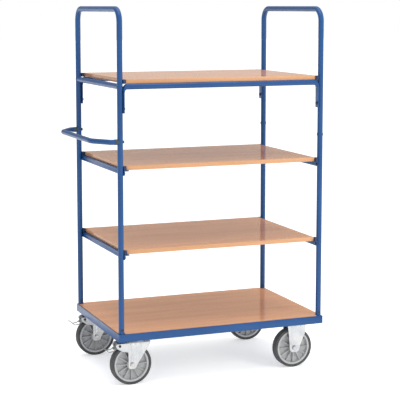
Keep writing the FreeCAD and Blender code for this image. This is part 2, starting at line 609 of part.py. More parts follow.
def make_swivel_castor(side, sy):
    prefix = f"left_{side}"
    y = sy * WHEEL_Y
    race_top = SWIVEL_CROWN_TOP + 4.5
    upper_race = race_top + 2 * BALL_RADIUS + 0.1
    plate_bottom = LEDGE_BOTTOM - PLATE_THICKNESS

    race = hollow_rod((SWIVEL_X, y, upper_race), (SWIVEL_X, y, plate_bottom), 33.0, KINGPIN_RADIUS)
    skirt = hollow_rod((SWIVEL_X, y, SWIVEL_CROWN_TOP + 2), (SWIVEL_X, y, plate_bottom), 37.0, 33.5)
    collar = hollow_rod((SWIVEL_X, y, upper_race + 2), (SWIVEL_X, y, plate_bottom), 34.0, 32.0)
    king_hole = rod((SWIVEL_X, y, plate_bottom - 1), (SWIVEL_X, y, LEDGE_BOTTOM), KINGPIN_RADIUS)
    plate = mounting_plate(SWIVEL_X, y).cut(king_hole).fuse([race, skirt, collar])
    keep(f"{prefix}_swivel_plate", plate.removeSplitter())

    head_top = SWIVEL_CROWN_TOP - FORK_WALL - 0.1
    shank = rod((SWIVEL_X, y, head_top - 3), (SWIVEL_X, y, LEDGE_BOTTOM), KINGPIN_RADIUS)
    keep(f"{prefix}_kingpin", hexagon((SWIVEL_X, y, head_top - 6), Z_AXIS, 22.0, 6.0).fuse(shank))

    balls = [Part.makeSphere(BALL_RADIUS, Vector(SWIVEL_X + RACE_RADIUS * math.cos(2 * math.pi * i / BALLS),
                                                 y + RACE_RADIUS * math.sin(2 * math.pi * i / BALLS),
                                                 race_top + BALL_RADIUS)) for i in range(BALLS)]
    keep(f"{prefix}_race_balls", balls)

    # The cheeks drop to the axle, and reach back over the wheel to carry the brake pedal.
    outline = [(-20, 80), (17, 80), (24, 98), (62, 157), (91, 200), (91, SWIVEL_CROWN_TOP),
               (-30, SWIVEL_CROWN_TOP), (-76, 208), (-82, 196), (-76, 184), (-50, 168), (-20, 163)]
    radii = [12, 14, 12, 20, 8, 6, 40, 10, 8, 8, 14, 4]
    fork = folded_fork(outline, radii, SWIVEL_CROWN_TOP, SWIVEL_AXLE_X, y)
    fork = press_ribs(fork, SWIVEL_AXLE_X, y, [(-8, 122, 200), (16, 126, 200), (42, 160, 200)])
    lower_race = rod((SWIVEL_X, y, SWIVEL_CROWN_TOP - 1), (SWIVEL_X, y, race_top), 32.0)
    king_bore = rod((SWIVEL_X, y, head_top), (SWIVEL_X, y, race_top + 1), KINGPIN_RADIUS + RUNNING_CLEARANCE)
    pivot_x = SWIVEL_AXLE_X + PEDAL_PIVOT_X
    pin_hole = rod((pivot_x, y - FORK_OUTER, PEDAL_PIVOT_Z), (pivot_x, y + FORK_OUTER, PEDAL_PIVOT_Z),
                   PEDAL_PIN_RADIUS)
    fork = fork.fuse(lower_race).cut(king_bore).cut(axle_hole(SWIVEL_AXLE_X, y)).cut(pin_hole)
    keep(f"{prefix}_fork", fork.removeSplitter())

    pin = rod((pivot_x, y - FORK_OUTER, PEDAL_PIVOT_Z), (pivot_x, y + FORK_OUTER, PEDAL_PIVOT_Z),
              PEDAL_PIN_RADIUS)
    for direction in (-1, 1):
        face = y + direction * FORK_OUTER
        pin = pin.fuse(rod((pivot_x, face, PEDAL_PIVOT_Z), (pivot_x, face + 2 * direction, PEDAL_PIVOT_Z),
                           6.5))
    keep(f"{prefix}_pedal_pin", pin)

    keep(f"{prefix}_brake_pedal", brake_pedal(y))
    axle(prefix, SWIVEL_AXLE_X, y)
    wheel(prefix, SWIVEL_AXLE_X, y)


def brake_pedal(y):
    """Strip bent into a foot pedal with a window, on a hub that carries the brake cam."""
    outline = [(-66, 190), (-92, 172), (-114, 169), (-137, 188)]
    path = rounded_wire([Vector(SWIVEL_AXLE_X + x, y, z) for x, z in outline], [0, 12, 14, 0])
    start, second = [Vector(SWIVEL_AXLE_X + x, y, z) for x, z in outline[:2]]
    along = (second - start).normalize()
    normal = along.cross(Y_AXIS)
    half = [(-1, -1), (1, -1), (1, 1), (-1, 1)]
    corners = [start + Y_AXIS * (a * PEDAL_HALF_WIDTH) + normal * (b * PEDAL_WALL / 2) for a, b in half]
    strip = path.makePipeShell([rounded_wire(corners, [1.5] * 4, closed=True)], True, True)
    window = centred_block((SWIVEL_AXLE_X - 105, y, 170), (40, 2 * PEDAL_HALF_WIDTH - 12, 40))
    pivot_x = SWIVEL_AXLE_X + PEDAL_PIVOT_X
    hub_half = PEDAL_HALF_WIDTH - 1
    hub = rod((pivot_x, y - hub_half, PEDAL_PIVOT_Z), (pivot_x, y + hub_half, PEDAL_PIVOT_Z), 9.5)

    cam_half = 14.0
    centre = Vector(pivot_x, y - cam_half, PEDAL_PIVOT_Z)
    rim = [centre + Vector(math.cos(math.radians(a)), 0, math.sin(math.radians(a))) * BRAKE_CAM_RADIUS
           for a in (-104, -88, -72)]
    cam = Part.Face(Part.Wire([Part.LineSegment(centre, rim[0]).toShape(), Part.Arc(*rim).toShape(),
                               Part.LineSegment(rim[2], centre).toShape()])).extrude(Y_AXIS * 2 * cam_half)
    bore = rod((pivot_x, y - hub_half, PEDAL_PIVOT_Z), (pivot_x, y + hub_half, PEDAL_PIVOT_Z),
               PEDAL_PIN_RADIUS + RUNNING_CLEARANCE)
    return strip.cut(window).fuse([hub, cam]).cut(bore).removeSplitter()


# ---- The trolley --------------------------------------------------------------------------------

os.makedirs("parts", exist_ok=True)
make_base()
make_end_frames()
make_top_shelf()
make_middle_shelves()
make_shelf_stops()
make_handle()
make_tube_fasteners()
for side_name, side_sign in SIDES:
    make_fixed_castor(side_name, side_sign)
    make_swivel_castor(side_name, side_sign)
print("origin shift along X", round(-CENTRE_X, 3))
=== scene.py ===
# %% [markdown]
# # A four-deck shelf trolley
# The trolley is a welded base on four castors, with two upright tube frames that carry three
# wooden shelves, and a push handle at its -X end. The CAD model gives every piece its place and
# size. This lesson gives each piece the surface that its maker would: rolled tube, laminated
# board, pressed and zinc-plated sheet, moulded rims and tyres.

# %% Load the frame
import json
import math

import bmesh
import bpy
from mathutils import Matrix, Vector


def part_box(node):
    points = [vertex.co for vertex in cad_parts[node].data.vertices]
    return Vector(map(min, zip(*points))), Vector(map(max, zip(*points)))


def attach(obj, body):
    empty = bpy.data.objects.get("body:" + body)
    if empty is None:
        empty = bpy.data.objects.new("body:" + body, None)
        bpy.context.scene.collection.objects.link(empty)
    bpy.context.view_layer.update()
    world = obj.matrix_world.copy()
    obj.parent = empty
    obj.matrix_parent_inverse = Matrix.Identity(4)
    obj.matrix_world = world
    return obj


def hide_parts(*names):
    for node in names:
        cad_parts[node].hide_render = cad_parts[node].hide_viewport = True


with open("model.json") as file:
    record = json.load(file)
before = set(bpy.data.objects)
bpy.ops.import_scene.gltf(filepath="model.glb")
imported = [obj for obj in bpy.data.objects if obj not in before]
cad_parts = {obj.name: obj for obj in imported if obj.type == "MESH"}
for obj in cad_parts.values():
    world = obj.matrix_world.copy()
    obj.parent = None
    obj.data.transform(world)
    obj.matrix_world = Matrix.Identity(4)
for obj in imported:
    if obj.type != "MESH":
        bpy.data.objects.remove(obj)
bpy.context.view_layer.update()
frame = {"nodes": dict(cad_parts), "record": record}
scene = bpy.context.scene
MM = 0.001
SIDES = ("front", "rear")
ENDS = ("left", "right")


# %% [markdown]
# ## Powder coat
# The steel is sprayed with dry paint and baked. The skin that results is smooth at arm's length,
# but it has a faint orange-peel ripple, which breaks up the edges of a reflection. The colour
# drifts a little over a metre of tube. Noise textures on Object coordinates give all three, so
# the pattern runs on from a tube to its neighbour as one spray job would.

# %% Powder coat material
def empty_material(name):
    """A new material without nodes, with its lists of nodes and links."""
    material = bpy.data.materials.new(name)
    material.use_nodes = True
    material.node_tree.nodes.clear()
    return material, material.node_tree.nodes, material.node_tree.links


def make_powder_coat():
    material, nodes, links = empty_material("blue_powder_coat")
    tone_frame = nodes.new("NodeFrame")
    tone_frame.label = "Blue that drifts slightly"
    skin_frame = nodes.new("NodeFrame")
    skin_frame.label = "Orange peel and gloss"
    place = nodes.new("ShaderNodeTexCoord")
    place.label = "Place on the trolley"
    place.location = (-1100, 0)
    drift = nodes.new("ShaderNodeTexNoise")
    drift.label = "Slow drift of the spray"
    drift.location = (-850, 250)
    drift.parent = tone_frame
    drift.inputs["Scale"].default_value = 3.5
    drift.inputs["Detail"].default_value = 3.0
    tone = nodes.new("ShaderNodeValToRGB")
    tone.label = "Deep to light blue"
    tone.location = (-600, 250)
    tone.parent = tone_frame
    low_stop, high_stop = tone.color_ramp.elements
    low_stop.position, low_stop.color = 0.3, (0.010, 0.056, 0.178, 1)
    high_stop.position, high_stop.color = 0.7, (0.016, 0.073, 0.218, 1)
    peel = nodes.new("ShaderNodeTexNoise")
    peel.label = "Orange-peel ripple"
    peel.location = (-850, -250)
    peel.parent = skin_frame
    peel.inputs["Scale"].default_value = 420.0
    peel.inputs["Detail"].default_value = 2.0
    relief = nodes.new("ShaderNodeBump")
    relief.label = "Ripple height"
    relief.location = (-350, -300)
    relief.parent = skin_frame
    relief.inputs["Strength"].default_value = 0.12
    relief.inputs["Distance"].default_value = 0.0004
    cloud = nodes.new("ShaderNodeTexNoise")
    cloud.label = "Duller and shinier patches"
    cloud.location = (-850, -550)
    cloud.parent = skin_frame
    cloud.inputs["Scale"].default_value = 28.0
    gloss = nodes.new("ShaderNodeMapRange")
    gloss.label = "Roughness range"
    gloss.location = (-600, -550)
    gloss.parent = skin_frame
    gloss.inputs["To Min"].default_value = 0.24
    gloss.inputs["To Max"].default_value = 0.36
    paint = nodes.new("ShaderNodeBsdfPrincipled")
    paint.label = "Baked paint"
    paint.location = (-50, 100)
    paint.inputs["Specular IOR Level"].default_value = 0.25
    paint.inputs["Coat Weight"].default_value = 0.06
    paint.inputs["Coat Roughness"].default_value = 0.12
    out = nodes.new("ShaderNodeOutputMaterial")
    out.label = "Powder coat"
    out.location = (250, 100)
    links.new(place.outputs["Object"], drift.inputs["Vector"])
    links.new(place.outputs["Object"], peel.inputs["Vector"])
    links.new(place.outputs["Object"], cloud.inputs["Vector"])
    links.new(drift.outputs["Fac"], tone.inputs["Fac"])
    links.new(tone.outputs["Color"], paint.inputs["Base Color"])
    links.new(peel.outputs["Fac"], relief.inputs["Height"])
    links.new(relief.outputs["Normal"], paint.inputs["Normal"])
    links.new(cloud.outputs["Fac"], gloss.inputs["Value"])
    links.new(gloss.outputs["Result"], paint.inputs["Roughness"])
    links.new(paint.outputs["BSDF"], out.inputs["Surface"])
    print("made", material.name, "with", len(nodes), "nodes")
    return material


powder_coat = make_powder_coat()


# %% [markdown]
# ## Beech laminate
# The boards are chipboard faced with a printed beech film under clear resin. Beech has a quiet,
# straight figure: broad soft bands along the board, thin streaks inside them, and short dark
# flecks where the rays were cut. A noise that is stretched along X gives each of the three, and
# the smooth resin gives the sheen, which is a high specular level and a low roughness. The edge
# band is a greyer print with less sheen, and it is also darker than the face: that darkness is
# painted shade on the board edges. The underside has a plain grey backing film, which keeps the
# board from warping. All three come from one function with other colours.

# %% Beech material
MIX_A, MIX_B, MIX_RESULT = 6, 7, 2     # a Mix node's sockets for colours


def make_beech(name, dark, light, fleck_strength, sheen):
    material, nodes, links = empty_material(name)
    figure_frame = nodes.new("NodeFrame")
    figure_frame.label = "Bands and streaks"
    fleck_frame = nodes.new("NodeFrame")
    fleck_frame.label = "Ray flecks"
    surface_frame = nodes.new("NodeFrame")
    surface_frame.label = "Resin surface"
    place = nodes.new("ShaderNodeTexCoord")
    place.label = "Place on the trolley"
    place.location = (-1500, 0)
    band_scale = nodes.new("ShaderNodeMapping")
    band_scale.label = "Stretch bands along the board"
    band_scale.location = (-1250, 350)
    band_scale.parent = figure_frame
    band_scale.inputs["Scale"].default_value = (0.9, 9.0, 9.0)
    bands = nodes.new("ShaderNodeTexNoise")
    bands.label = "Broad figure"
    bands.location = (-1000, 350)
    bands.parent = figure_frame
    bands.inputs["Scale"].default_value = 1.6
    bands.inputs["Detail"].default_value = 4.0
    bands.inputs["Distortion"].default_value = 0.6
    streak_scale = nodes.new("ShaderNodeMapping")
    streak_scale.label = "Stretch streaks along the board"
    streak_scale.location = (-1250, 50)
    streak_scale.parent = figure_frame
    streak_scale.inputs["Scale"].default_value = (3.0, 130.0, 130.0)
    streaks = nodes.new("ShaderNodeTexNoise")
    streaks.label = "Fine streaks"
    streaks.location = (-1000, 50)
    streaks.parent = figure_frame
    streaks.inputs["Scale"].default_value = 1.5
    streaks.inputs["Detail"].default_value = 6.0
    figure = nodes.new("ShaderNodeMix")
    figure.label = "Streaks inside bands"
    figure.location = (-780, 250)
    figure.parent = figure_frame
    figure.inputs["Factor"].default_value = 0.42
    tone = nodes.new("ShaderNodeValToRGB")
    tone.label = "Beech tones"
    tone.location = (-560, 250)
    tone.parent = figure_frame
    low_stop, high_stop = tone.color_ramp.elements
    low_stop.position, low_stop.color = 0.32, (*dark, 1)
    high_stop.position, high_stop.color = 0.68, (*light, 1)
    fleck_scale = nodes.new("ShaderNodeMapping")
    fleck_scale.label = "Stretch flecks along the board"
    fleck_scale.location = (-1250, -300)
    fleck_scale.parent = fleck_frame
    fleck_scale.inputs["Scale"].default_value = (90.0, 620.0, 620.0)
    flecks = nodes.new("ShaderNodeTexNoise")
    flecks.label = "Short dashes"
    flecks.location = (-1000, -300)
    flecks.parent = fleck_frame
    flecks.inputs["Scale"].default_value = 1.0
    flecks.inputs["Detail"].default_value = 1.0
    fleck_mask = nodes.new("ShaderNodeMapRange")
    fleck_mask.label = "Keep only the peaks"
    fleck_mask.location = (-780, -300)
    fleck_mask.parent = fleck_frame
    fleck_mask.inputs["From Min"].default_value = 0.60
    fleck_mask.inputs["From Max"].default_value = 0.72
    fleck_mask.inputs["To Max"].default_value = fleck_strength
    fleck_tone = nodes.new("ShaderNodeMix")
    fleck_tone.label = "Darken the flecks"
    fleck_tone.data_type = "RGBA"
    fleck_tone.location = (-300, 100)
    fleck_tone.parent = fleck_frame
    fleck_tone.inputs[MIX_B].default_value = (dark[0] * 0.45, dark[1] * 0.40, dark[2] * 0.35, 1)
    relief = nodes.new("ShaderNodeBump")
    relief.label = "Pressed-in grain"
    relief.location = (-300, -300)
    relief.parent = surface_frame
    relief.inputs["Strength"].default_value = 0.10
    relief.inputs["Distance"].default_value = 0.0002
    handling = nodes.new("ShaderNodeTexNoise")
    handling.label = "Handling marks"
    handling.location = (-780, -600)
    handling.parent = surface_frame
    handling.inputs["Scale"].default_value = 9.0
    handling.inputs["Detail"].default_value = 5.0
    gloss = nodes.new("ShaderNodeMapRange")
    gloss.label = "Satin range"
    gloss.location = (-560, -600)
    gloss.parent = surface_frame
    gloss.inputs["To Min"].default_value = 0.08
    gloss.inputs["To Max"].default_value = 0.15
    board = nodes.new("ShaderNodeBsdfPrincipled")
    board.label = "Laminate"
    board.location = (0, 100)
    board.inputs["Specular IOR Level"].default_value = sheen
    out = nodes.new("ShaderNodeOutputMaterial")
    out.label = name
    out.location = (300, 100)
    for scaled in (band_scale, streak_scale, fleck_scale):
        links.new(place.outputs["Object"], scaled.inputs["Vector"])
    links.new(place.outputs["Object"], handling.inputs["Vector"])
    links.new(band_scale.outputs["Vector"], bands.inputs["Vector"])
    links.new(streak_scale.outputs["Vector"], streaks.inputs["Vector"])
    links.new(fleck_scale.outputs["Vector"], flecks.inputs["Vector"])
    links.new(bands.outputs["Fac"], figure.inputs["A"])
    links.new(streaks.outputs["Fac"], figure.inputs["B"])
    links.new(figure.outputs["Result"], tone.inputs["Fac"])
    links.new(flecks.outputs["Fac"], fleck_mask.inputs["Value"])
    links.new(fleck_mask.outputs["Result"], fleck_tone.inputs["Factor"])
    links.new(tone.outputs["Color"], fleck_tone.inputs[MIX_A])
    links.new(fleck_tone.outputs[MIX_RESULT], board.inputs["Base Color"])
    links.new(streaks.outputs["Fac"], relief.inputs["Height"])
    links.new(relief.outputs["Normal"], board.inputs["Normal"])
    links.new(handling.outputs["Fac"], gloss.inputs["Value"])
    links.new(gloss.outputs["Result"], board.inputs["Roughness"])
    links.new(board.outputs["BSDF"], out.inputs["Surface"])
    print("made", material.name, "with", len(nodes), "nodes")
    return material


# Dark and light tone, how strong the flecks are, and the sheen of the resin.
beech_face = make_beech("beech_face", (0.69, 0.308, 0.128), (0.86, 0.402, 0.184), 0.45, 0.7)
# The edge band is greyer than the face, and its darker tones are painted shade on the board edges.
beech_edge_with_painted_shade = make_beech("beech_edge_with_painted_shade", (0.48, 0.245, 0.120), (0.60, 0.330, 0.180), 0.25, 0.2)
backing_film = make_beech("backing_film", (0.40, 0.395, 0.385), (0.46, 0.455, 0.445), 0.10, 0.2)


# %% [markdown]
# ## Zinc plate
# Forks, plates and bolts are dipped in a bright zinc bath. The metal is nearly white, with a slow
# cloud of warmer and cooler grey, and the press leaves faint draw marks down the cheeks of a fork.
# Some small parts are passivated after the bath, which turns the zinc darker: the pedals are grey,
# and the tube bolts and screws are nearly black. One function makes them all, and the bearing and
# ball steel too, because they differ only in how bright and how rough they are.

# %% Zinc material
def make_zinc(name, cool, warm, roughness):
    material, nodes, links = empty_material(name)
    tone_frame = nodes.new("NodeFrame")
    tone_frame.label = "Plating cloud"
    mark_frame = nodes.new("NodeFrame")
    mark_frame.label = "Draw marks"
    place = nodes.new("ShaderNodeTexCoord")
    place.label = "Place on the trolley"
    place.location = (-1150, 0)
    cloud = nodes.new("ShaderNodeTexNoise")
    cloud.label = "Cool and warm patches"
    cloud.location = (-850, 250)
    cloud.parent = tone_frame
    cloud.inputs["Scale"].default_value = 24.0
    cloud.inputs["Detail"].default_value = 3.0
    tone = nodes.new("ShaderNodeValToRGB")
    tone.label = "Zinc tones"
    tone.location = (-600, 250)
    tone.parent = tone_frame
    low_stop, high_stop = tone.color_ramp.elements
    low_stop.position, low_stop.color = 0.35, (*cool, 1)
    high_stop.position, high_stop.color = 0.65, (*warm, 1)
    mark_scale = nodes.new("ShaderNodeMapping")
    mark_scale.label = "Stretch marks upwards"
    mark_scale.location = (-950, -250)
    mark_scale.parent = mark_frame
    mark_scale.inputs["Scale"].default_value = (700.0, 700.0, 30.0)
    marks = nodes.new("ShaderNodeTexNoise")
    marks.label = "Fine drawn lines"
    marks.location = (-750, -250)
    marks.parent = mark_frame
    marks.inputs["Scale"].default_value = 1.0
    gloss = nodes.new("ShaderNodeMapRange")
    gloss.label = "Roughness range"
    gloss.location = (-500, -150)
    gloss.parent = mark_frame
    gloss.inputs["To Min"].default_value = roughness - 0.08
    gloss.inputs["To Max"].default_value = roughness + 0.10
    relief = nodes.new("ShaderNodeBump")
    relief.label = "Mark depth"
    relief.location = (-500, -450)
    relief.parent = mark_frame
    relief.inputs["Strength"].default_value = 0.08
    relief.inputs["Distance"].default_value = 0.0001
    metal = nodes.new("ShaderNodeBsdfPrincipled")
    metal.label = "Zinc"
    metal.location = (-200, 100)
    metal.inputs["Metallic"].default_value = 1.0
    out = nodes.new("ShaderNodeOutputMaterial")
    out.label = name
    out.location = (100, 100)
    links.new(place.outputs["Object"], cloud.inputs["Vector"])
    links.new(place.outputs["Object"], mark_scale.inputs["Vector"])
    links.new(mark_scale.outputs["Vector"], marks.inputs["Vector"])
    links.new(cloud.outputs["Fac"], tone.inputs["Fac"])
    links.new(tone.outputs["Color"], metal.inputs["Base Color"])
    links.new(marks.outputs["Fac"], gloss.inputs["Value"])
    links.new(gloss.outputs["Result"], metal.inputs["Roughness"])
    links.new(marks.outputs["Fac"], relief.inputs["Height"])
    links.new(relief.outputs["Normal"], metal.inputs["Normal"])
    links.new(metal.outputs["BSDF"], out.inputs["Surface"])
    print("made", material.name, "with", len(nodes), "nodes")
    return material


# Cool and warm tone, and roughness.
zinc_sheet = make_zinc("zinc_sheet", (0.47, 0.49, 0.52), (0.57, 0.57, 0.56), 0.25)
zinc_fastener = make_zinc("zinc_fastener", (0.44, 0.45, 0.47), (0.54, 0.53, 0.51), 0.28)
pedal_zinc = make_zinc("pedal_zinc", (0.24, 0.25, 0.26), (0.32, 0.32, 0.31), 0.30)
black_zinc = make_zinc("black_zinc", (0.040, 0.043, 0.050), (0.075, 0.075, 0.08), 0.34)
bearing_steel = make_zinc("bearing_steel", (0.50, 0.51, 0.53), (0.60, 0.60, 0.60), 0.26)
ball_steel = make_zinc("ball_steel", (0.74, 0.75, 0.77), (0.80, 0.80, 0.80), 0.16)


# %% [markdown]
# ## Moulded rubber and plastic
# The tyres, the rims, the navy stops beside each shelf and the slate collars of the handle come
# out of moulds. A moulded skin has one colour, a fine texture from the tool, and a little dust
# that sits in the rougher places. They share this make-up, so one function takes their colours,
# grain size and gloss.

# %% Moulded material
def make_moulded(name, colour, dust, dust_amount, grain, roughness):
    material, nodes, links = empty_material(name)
    dust_frame = nodes.new("NodeFrame")
    dust_frame.label = "Dust and wear"
    skin_frame = nodes.new("NodeFrame")
    skin_frame.label = "Mould texture"
    place = nodes.new("ShaderNodeTexCoord")
    place.label = "Place on the trolley"
    place.location = (-1100, 0)
    patches = nodes.new("ShaderNodeTexNoise")
    patches.label = "Dusty patches"
    patches.location = (-850, 250)
    patches.parent = dust_frame
    patches.inputs["Scale"].default_value = 36.0
    patches.inputs["Detail"].default_value = 6.0
    amount = nodes.new("ShaderNodeMapRange")
    amount.label = "How much dust"
    amount.location = (-620, 250)
    amount.parent = dust_frame
    amount.inputs["From Min"].default_value = 0.38
    amount.inputs["From Max"].default_value = 0.72
    amount.inputs["To Max"].default_value = dust_amount
    dusted = nodes.new("ShaderNodeMix")
    dusted.label = "Dust over the colour"
    dusted.data_type = "RGBA"
    dusted.location = (-380, 250)
    dusted.parent = dust_frame
    dusted.inputs[MIX_A].default_value = (*colour, 1)
    dusted.inputs[MIX_B].default_value = (*dust, 1)
    texture = nodes.new("ShaderNodeTexNoise")
    texture.label = "Tool grain"
    texture.location = (-850, -250)
    texture.parent = skin_frame
    texture.inputs["Scale"].default_value = grain
    texture.inputs["Detail"].default_value = 3.0
    relief = nodes.new("ShaderNodeBump")
    relief.label = "Grain depth"
    relief.location = (-380, -300)
    relief.parent = skin_frame
    relief.inputs["Strength"].default_value = 0.25
    relief.inputs["Distance"].default_value = 0.0002
    gloss = nodes.new("ShaderNodeMapRange")
    gloss.label = "Roughness range"
    gloss.location = (-620, -100)
    gloss.parent = skin_frame
    gloss.inputs["To Min"].default_value = roughness - 0.08
    gloss.inputs["To Max"].default_value = roughness + 0.08
    moulded = nodes.new("ShaderNodeBsdfPrincipled")
    moulded.label = "Moulded skin"
    moulded.location = (-100, 100)
    out = nodes.new("ShaderNodeOutputMaterial")
    out.label = name
    out.location = (200, 100)
    links.new(place.outputs["Object"], patches.inputs["Vector"])
    links.new(place.outputs["Object"], texture.inputs["Vector"])
    links.new(patches.outputs["Fac"], amount.inputs["Value"])
    links.new(patches.outputs["Fac"], gloss.inputs["Value"])
    links.new(amount.outputs["Result"], dusted.inputs["Factor"])
    links.new(dusted.outputs[MIX_RESULT], moulded.inputs["Base Color"])
    links.new(texture.outputs["Fac"], relief.inputs["Height"])
    links.new(relief.outputs["Normal"], moulded.inputs["Normal"])
    links.new(gloss.outputs["Result"], moulded.inputs["Roughness"])
    links.new(moulded.outputs["BSDF"], out.inputs["Surface"])
    print("made", material.name, "with", len(nodes), "nodes")
    return material


# Colour, dust colour, amount of dust, grain scale and roughness.
tyre_rubber = make_moulded("tyre_rubber", (0.040, 0.042, 0.045), (0.11, 0.108, 0.105), 0.5, 900, 0.72)
rim_nylon = make_moulded("rim_nylon", (0.37, 0.375, 0.38), (0.45, 0.45, 0.45), 0.4, 700, 0.48)
stop_plastic = make_moulded("stop_plastic", (0.006, 0.022, 0.075), (0.03, 0.045, 0.08), 0.3, 800, 0.5)
collar_plastic = make_moulded("collar_plastic", (0.022, 0.045, 0.062), (0.04, 0.06, 0.07), 0.3, 800, 0.5)


# %% [markdown]
# ## Turning a shape into a finished piece
# Each piece is finished in the same way. Its modifiers are worked out into a plain mesh, its
# object sits at the origin, it takes its material, it rides on the body that carries it, and the
# CAD node that it stands for is hidden.

# %% Helpers for pieces
BODIES = frame["record"]["behaviour"]["bodies"]
NODE_BODY = {node: body for body, nodes in BODIES.items() for node in nodes}


def link_mesh(mesh):
    """An object at the origin that shows a mesh."""
    piece = bpy.data.objects.new(mesh.name, mesh)
    scene.collection.objects.link(piece)
    return piece


def plain_mesh(piece):
    """Swap a piece that has modifiers for the mesh that they make."""
    name, rough_mesh = piece.name, piece.data
    graph = bpy.context.evaluated_depsgraph_get()
    mesh = bpy.data.meshes.new_from_object(piece.evaluated_get(graph), depsgraph=graph)
    bpy.data.objects.remove(piece)
    bpy.data.meshes.remove(rough_mesh)
    mesh.name = name
    return link_mesh(mesh)


def finish(piece, node, *materials):
    """Give a piece its materials and the body of the CAD node it stands for, and hide that node."""
    if materials:
        piece.data.materials.clear()
        for material in materials:
            piece.data.materials.append(material)
    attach(piece, NODE_BODY[node])
    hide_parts(node)


print("nodes to finish:", len(NODE_BODY))


# %% [markdown]
# ## Pressed, sawn and folded pieces
# Rails, angles, forks and plates already have the right shape in CAD, but their edges there are
# perfectly sharp. A real edge is broken by the saw, the press or the paint, and that narrow
# rounding is what catches the light. A copy of the CAD mesh is merged, its flat triangles are
# joined into whole faces, and a Bevel modifier rounds what is left. Hardened normals keep the
# large faces flat to the eye. The boards do without them, because they get truly flat shading.

# %% Pieces with broken edges
HARD_ANGLE = math.radians(30)
SAME_FACE_ANGLE = math.radians(0.5)
SAME_POINT = 0.002 * MM


def mesh_from_bmesh(name, shape):
    """A mesh out of a finished bmesh, which is freed."""
    mesh = bpy.data.meshes.new(name)
    shape.to_mesh(mesh)
    shape.free()
    return mesh


def merged_copy(node):
    """A bmesh of a CAD node, with its loose triangles joined at their corners."""
    shape = bmesh.new()
    shape.from_mesh(frame["nodes"][node].data)
    bmesh.ops.remove_doubles(shape, verts=shape.verts, dist=SAME_POINT)
    return shape


def break_edges(node, width, hardened=True):
    """Copy of a CAD node whose hard edges are rounded by a width in metres."""
    shape = merged_copy(node)
    bmesh.ops.dissolve_limit(shape, angle_limit=SAME_FACE_ANGLE, verts=shape.verts, edges=shape.edges)
    mesh = mesh_from_bmesh(f"{node}_finished", shape)
    mesh.materials.clear()
    mesh.shade_smooth()
    piece = link_mesh(mesh)
    bevel = piece.modifiers.new("Broken edges", "BEVEL")
    bevel.width = width
    bevel.segments = 2
    bevel.limit_method = "ANGLE"
    bevel.angle_limit = HARD_ANGLE
    bevel.harden_normals = hardened
    return plain_mesh(piece)


STEEL_EDGE = 0.6 * MM
painted = [f"base_{side}_rail" for side in ("front", "rear", "left", "right")]
painted += [f"castor_cross_plate_{end}" for end in ENDS] + ["deck_cross_tubes"]
painted += [f"{shelf}_bearer_{end}" for shelf in ("lower", "upper") for end in ENDS]
for node in painted:
    finish(break_edges(node, STEEL_EDGE), node, powder_coat)
print("painted sections:", len(painted))

# %% [markdown]
# ## Boards
# A board has the beech face on top, the grey film below and a band glued round its edge, so the
# material follows the way a face of the mesh points. The bevel stands for the trimmed lip where
# band and face meet. The top is glossy, and a mirror shows every slope, so the two large faces are
# shaded flat and only the lip and the edge are smooth.

# %% Deck and shelves
BOARD_EDGE = 1.0 * MM
FLAT_ENOUGH = 0.9
for node in ("base_deck", "lower_shelf_board", "upper_shelf_board", "top_board"):
    board = break_edges(node, BOARD_EDGE, hardened=False)
    finish(board, node, beech_face, beech_edge_with_painted_shade, backing_film)
    for face in board.data.polygons:
        faces_up, faces_down = face.normal.z > FLAT_ENOUGH, face.normal.z < -FLAT_ENOUGH
        # The sides take the edge material, whose darker tones are painted shade.
        face.material_index = 0 if faces_up else 2 if faces_down else 1
        face.use_smooth = not faces_up and not faces_down
    print(node, "faces:", len(board.data.polygons))

# %% [markdown]
# ## Shapes that follow a rule
# Tubes, weld beads, bolts and wheel ribs follow rules, so Geometry Nodes trees grow them. A piece
# gives the tree its route or its places as a plain mesh, and its sizes as inputs. An input is
# found by name in the tree's interface and set by its identifier, before anything is evaluated.
# The result is kept as a plain mesh, shaded smooth apart from its sharp edges.

# %% Helpers for trees
NODE_STEP, NODE_DROP = 200, 120


def new_tree(name, inputs, output):
    """An empty Geometry Nodes tree with named inputs (name, kind) and one geometry output."""
    tree = bpy.data.node_groups.new(name, "GeometryNodeTree")
    for label, kind in inputs:
        tree.interface.new_socket(label, in_out="INPUT", socket_type=f"NodeSocket{kind}")
    tree.interface.new_socket(output, in_out="OUTPUT", socket_type="NodeSocketGeometry")
    return tree


def lay_out(nodes, top=0):
    """Set a tree's nodes in a zigzag from left to right."""
    for step, node in enumerate(nodes):
        node.location = (step * NODE_STEP, top - NODE_DROP * (step % 2))


def grow(piece, tree, sizes):
    """Run a Geometry Nodes tree on a piece and keep the result as a plain mesh."""
    modifier = piece.modifiers.new(tree.name, "NODES")
    modifier.node_group = tree
    for item in tree.interface.items_tree:
        if item.in_out == "INPUT" and item.name in sizes:
            modifier[item.identifier] = sizes[item.name]
    return plain_mesh(piece)


def crease(mesh, degrees):
    """Shade a mesh smooth, apart from the edges that turn more than an angle."""
    mesh.shade_smooth()
    mesh.set_sharp_from_angle(angle=math.radians(degrees))


print("node trees so far:", len(bpy.data.node_groups))

# %% [markdown]
# ## Bent tubes
# The end frames and the push handle are lengths of steel pipe, bent cold on a former. A tube like
# that is a rule and not a shape: straight runs, a radius at each corner, and a round section.
# So the script only says where the corners are. The tree turns the runs into a curve, rounds
# each corner by the radius stored on its point, and sweeps a circle along the result.

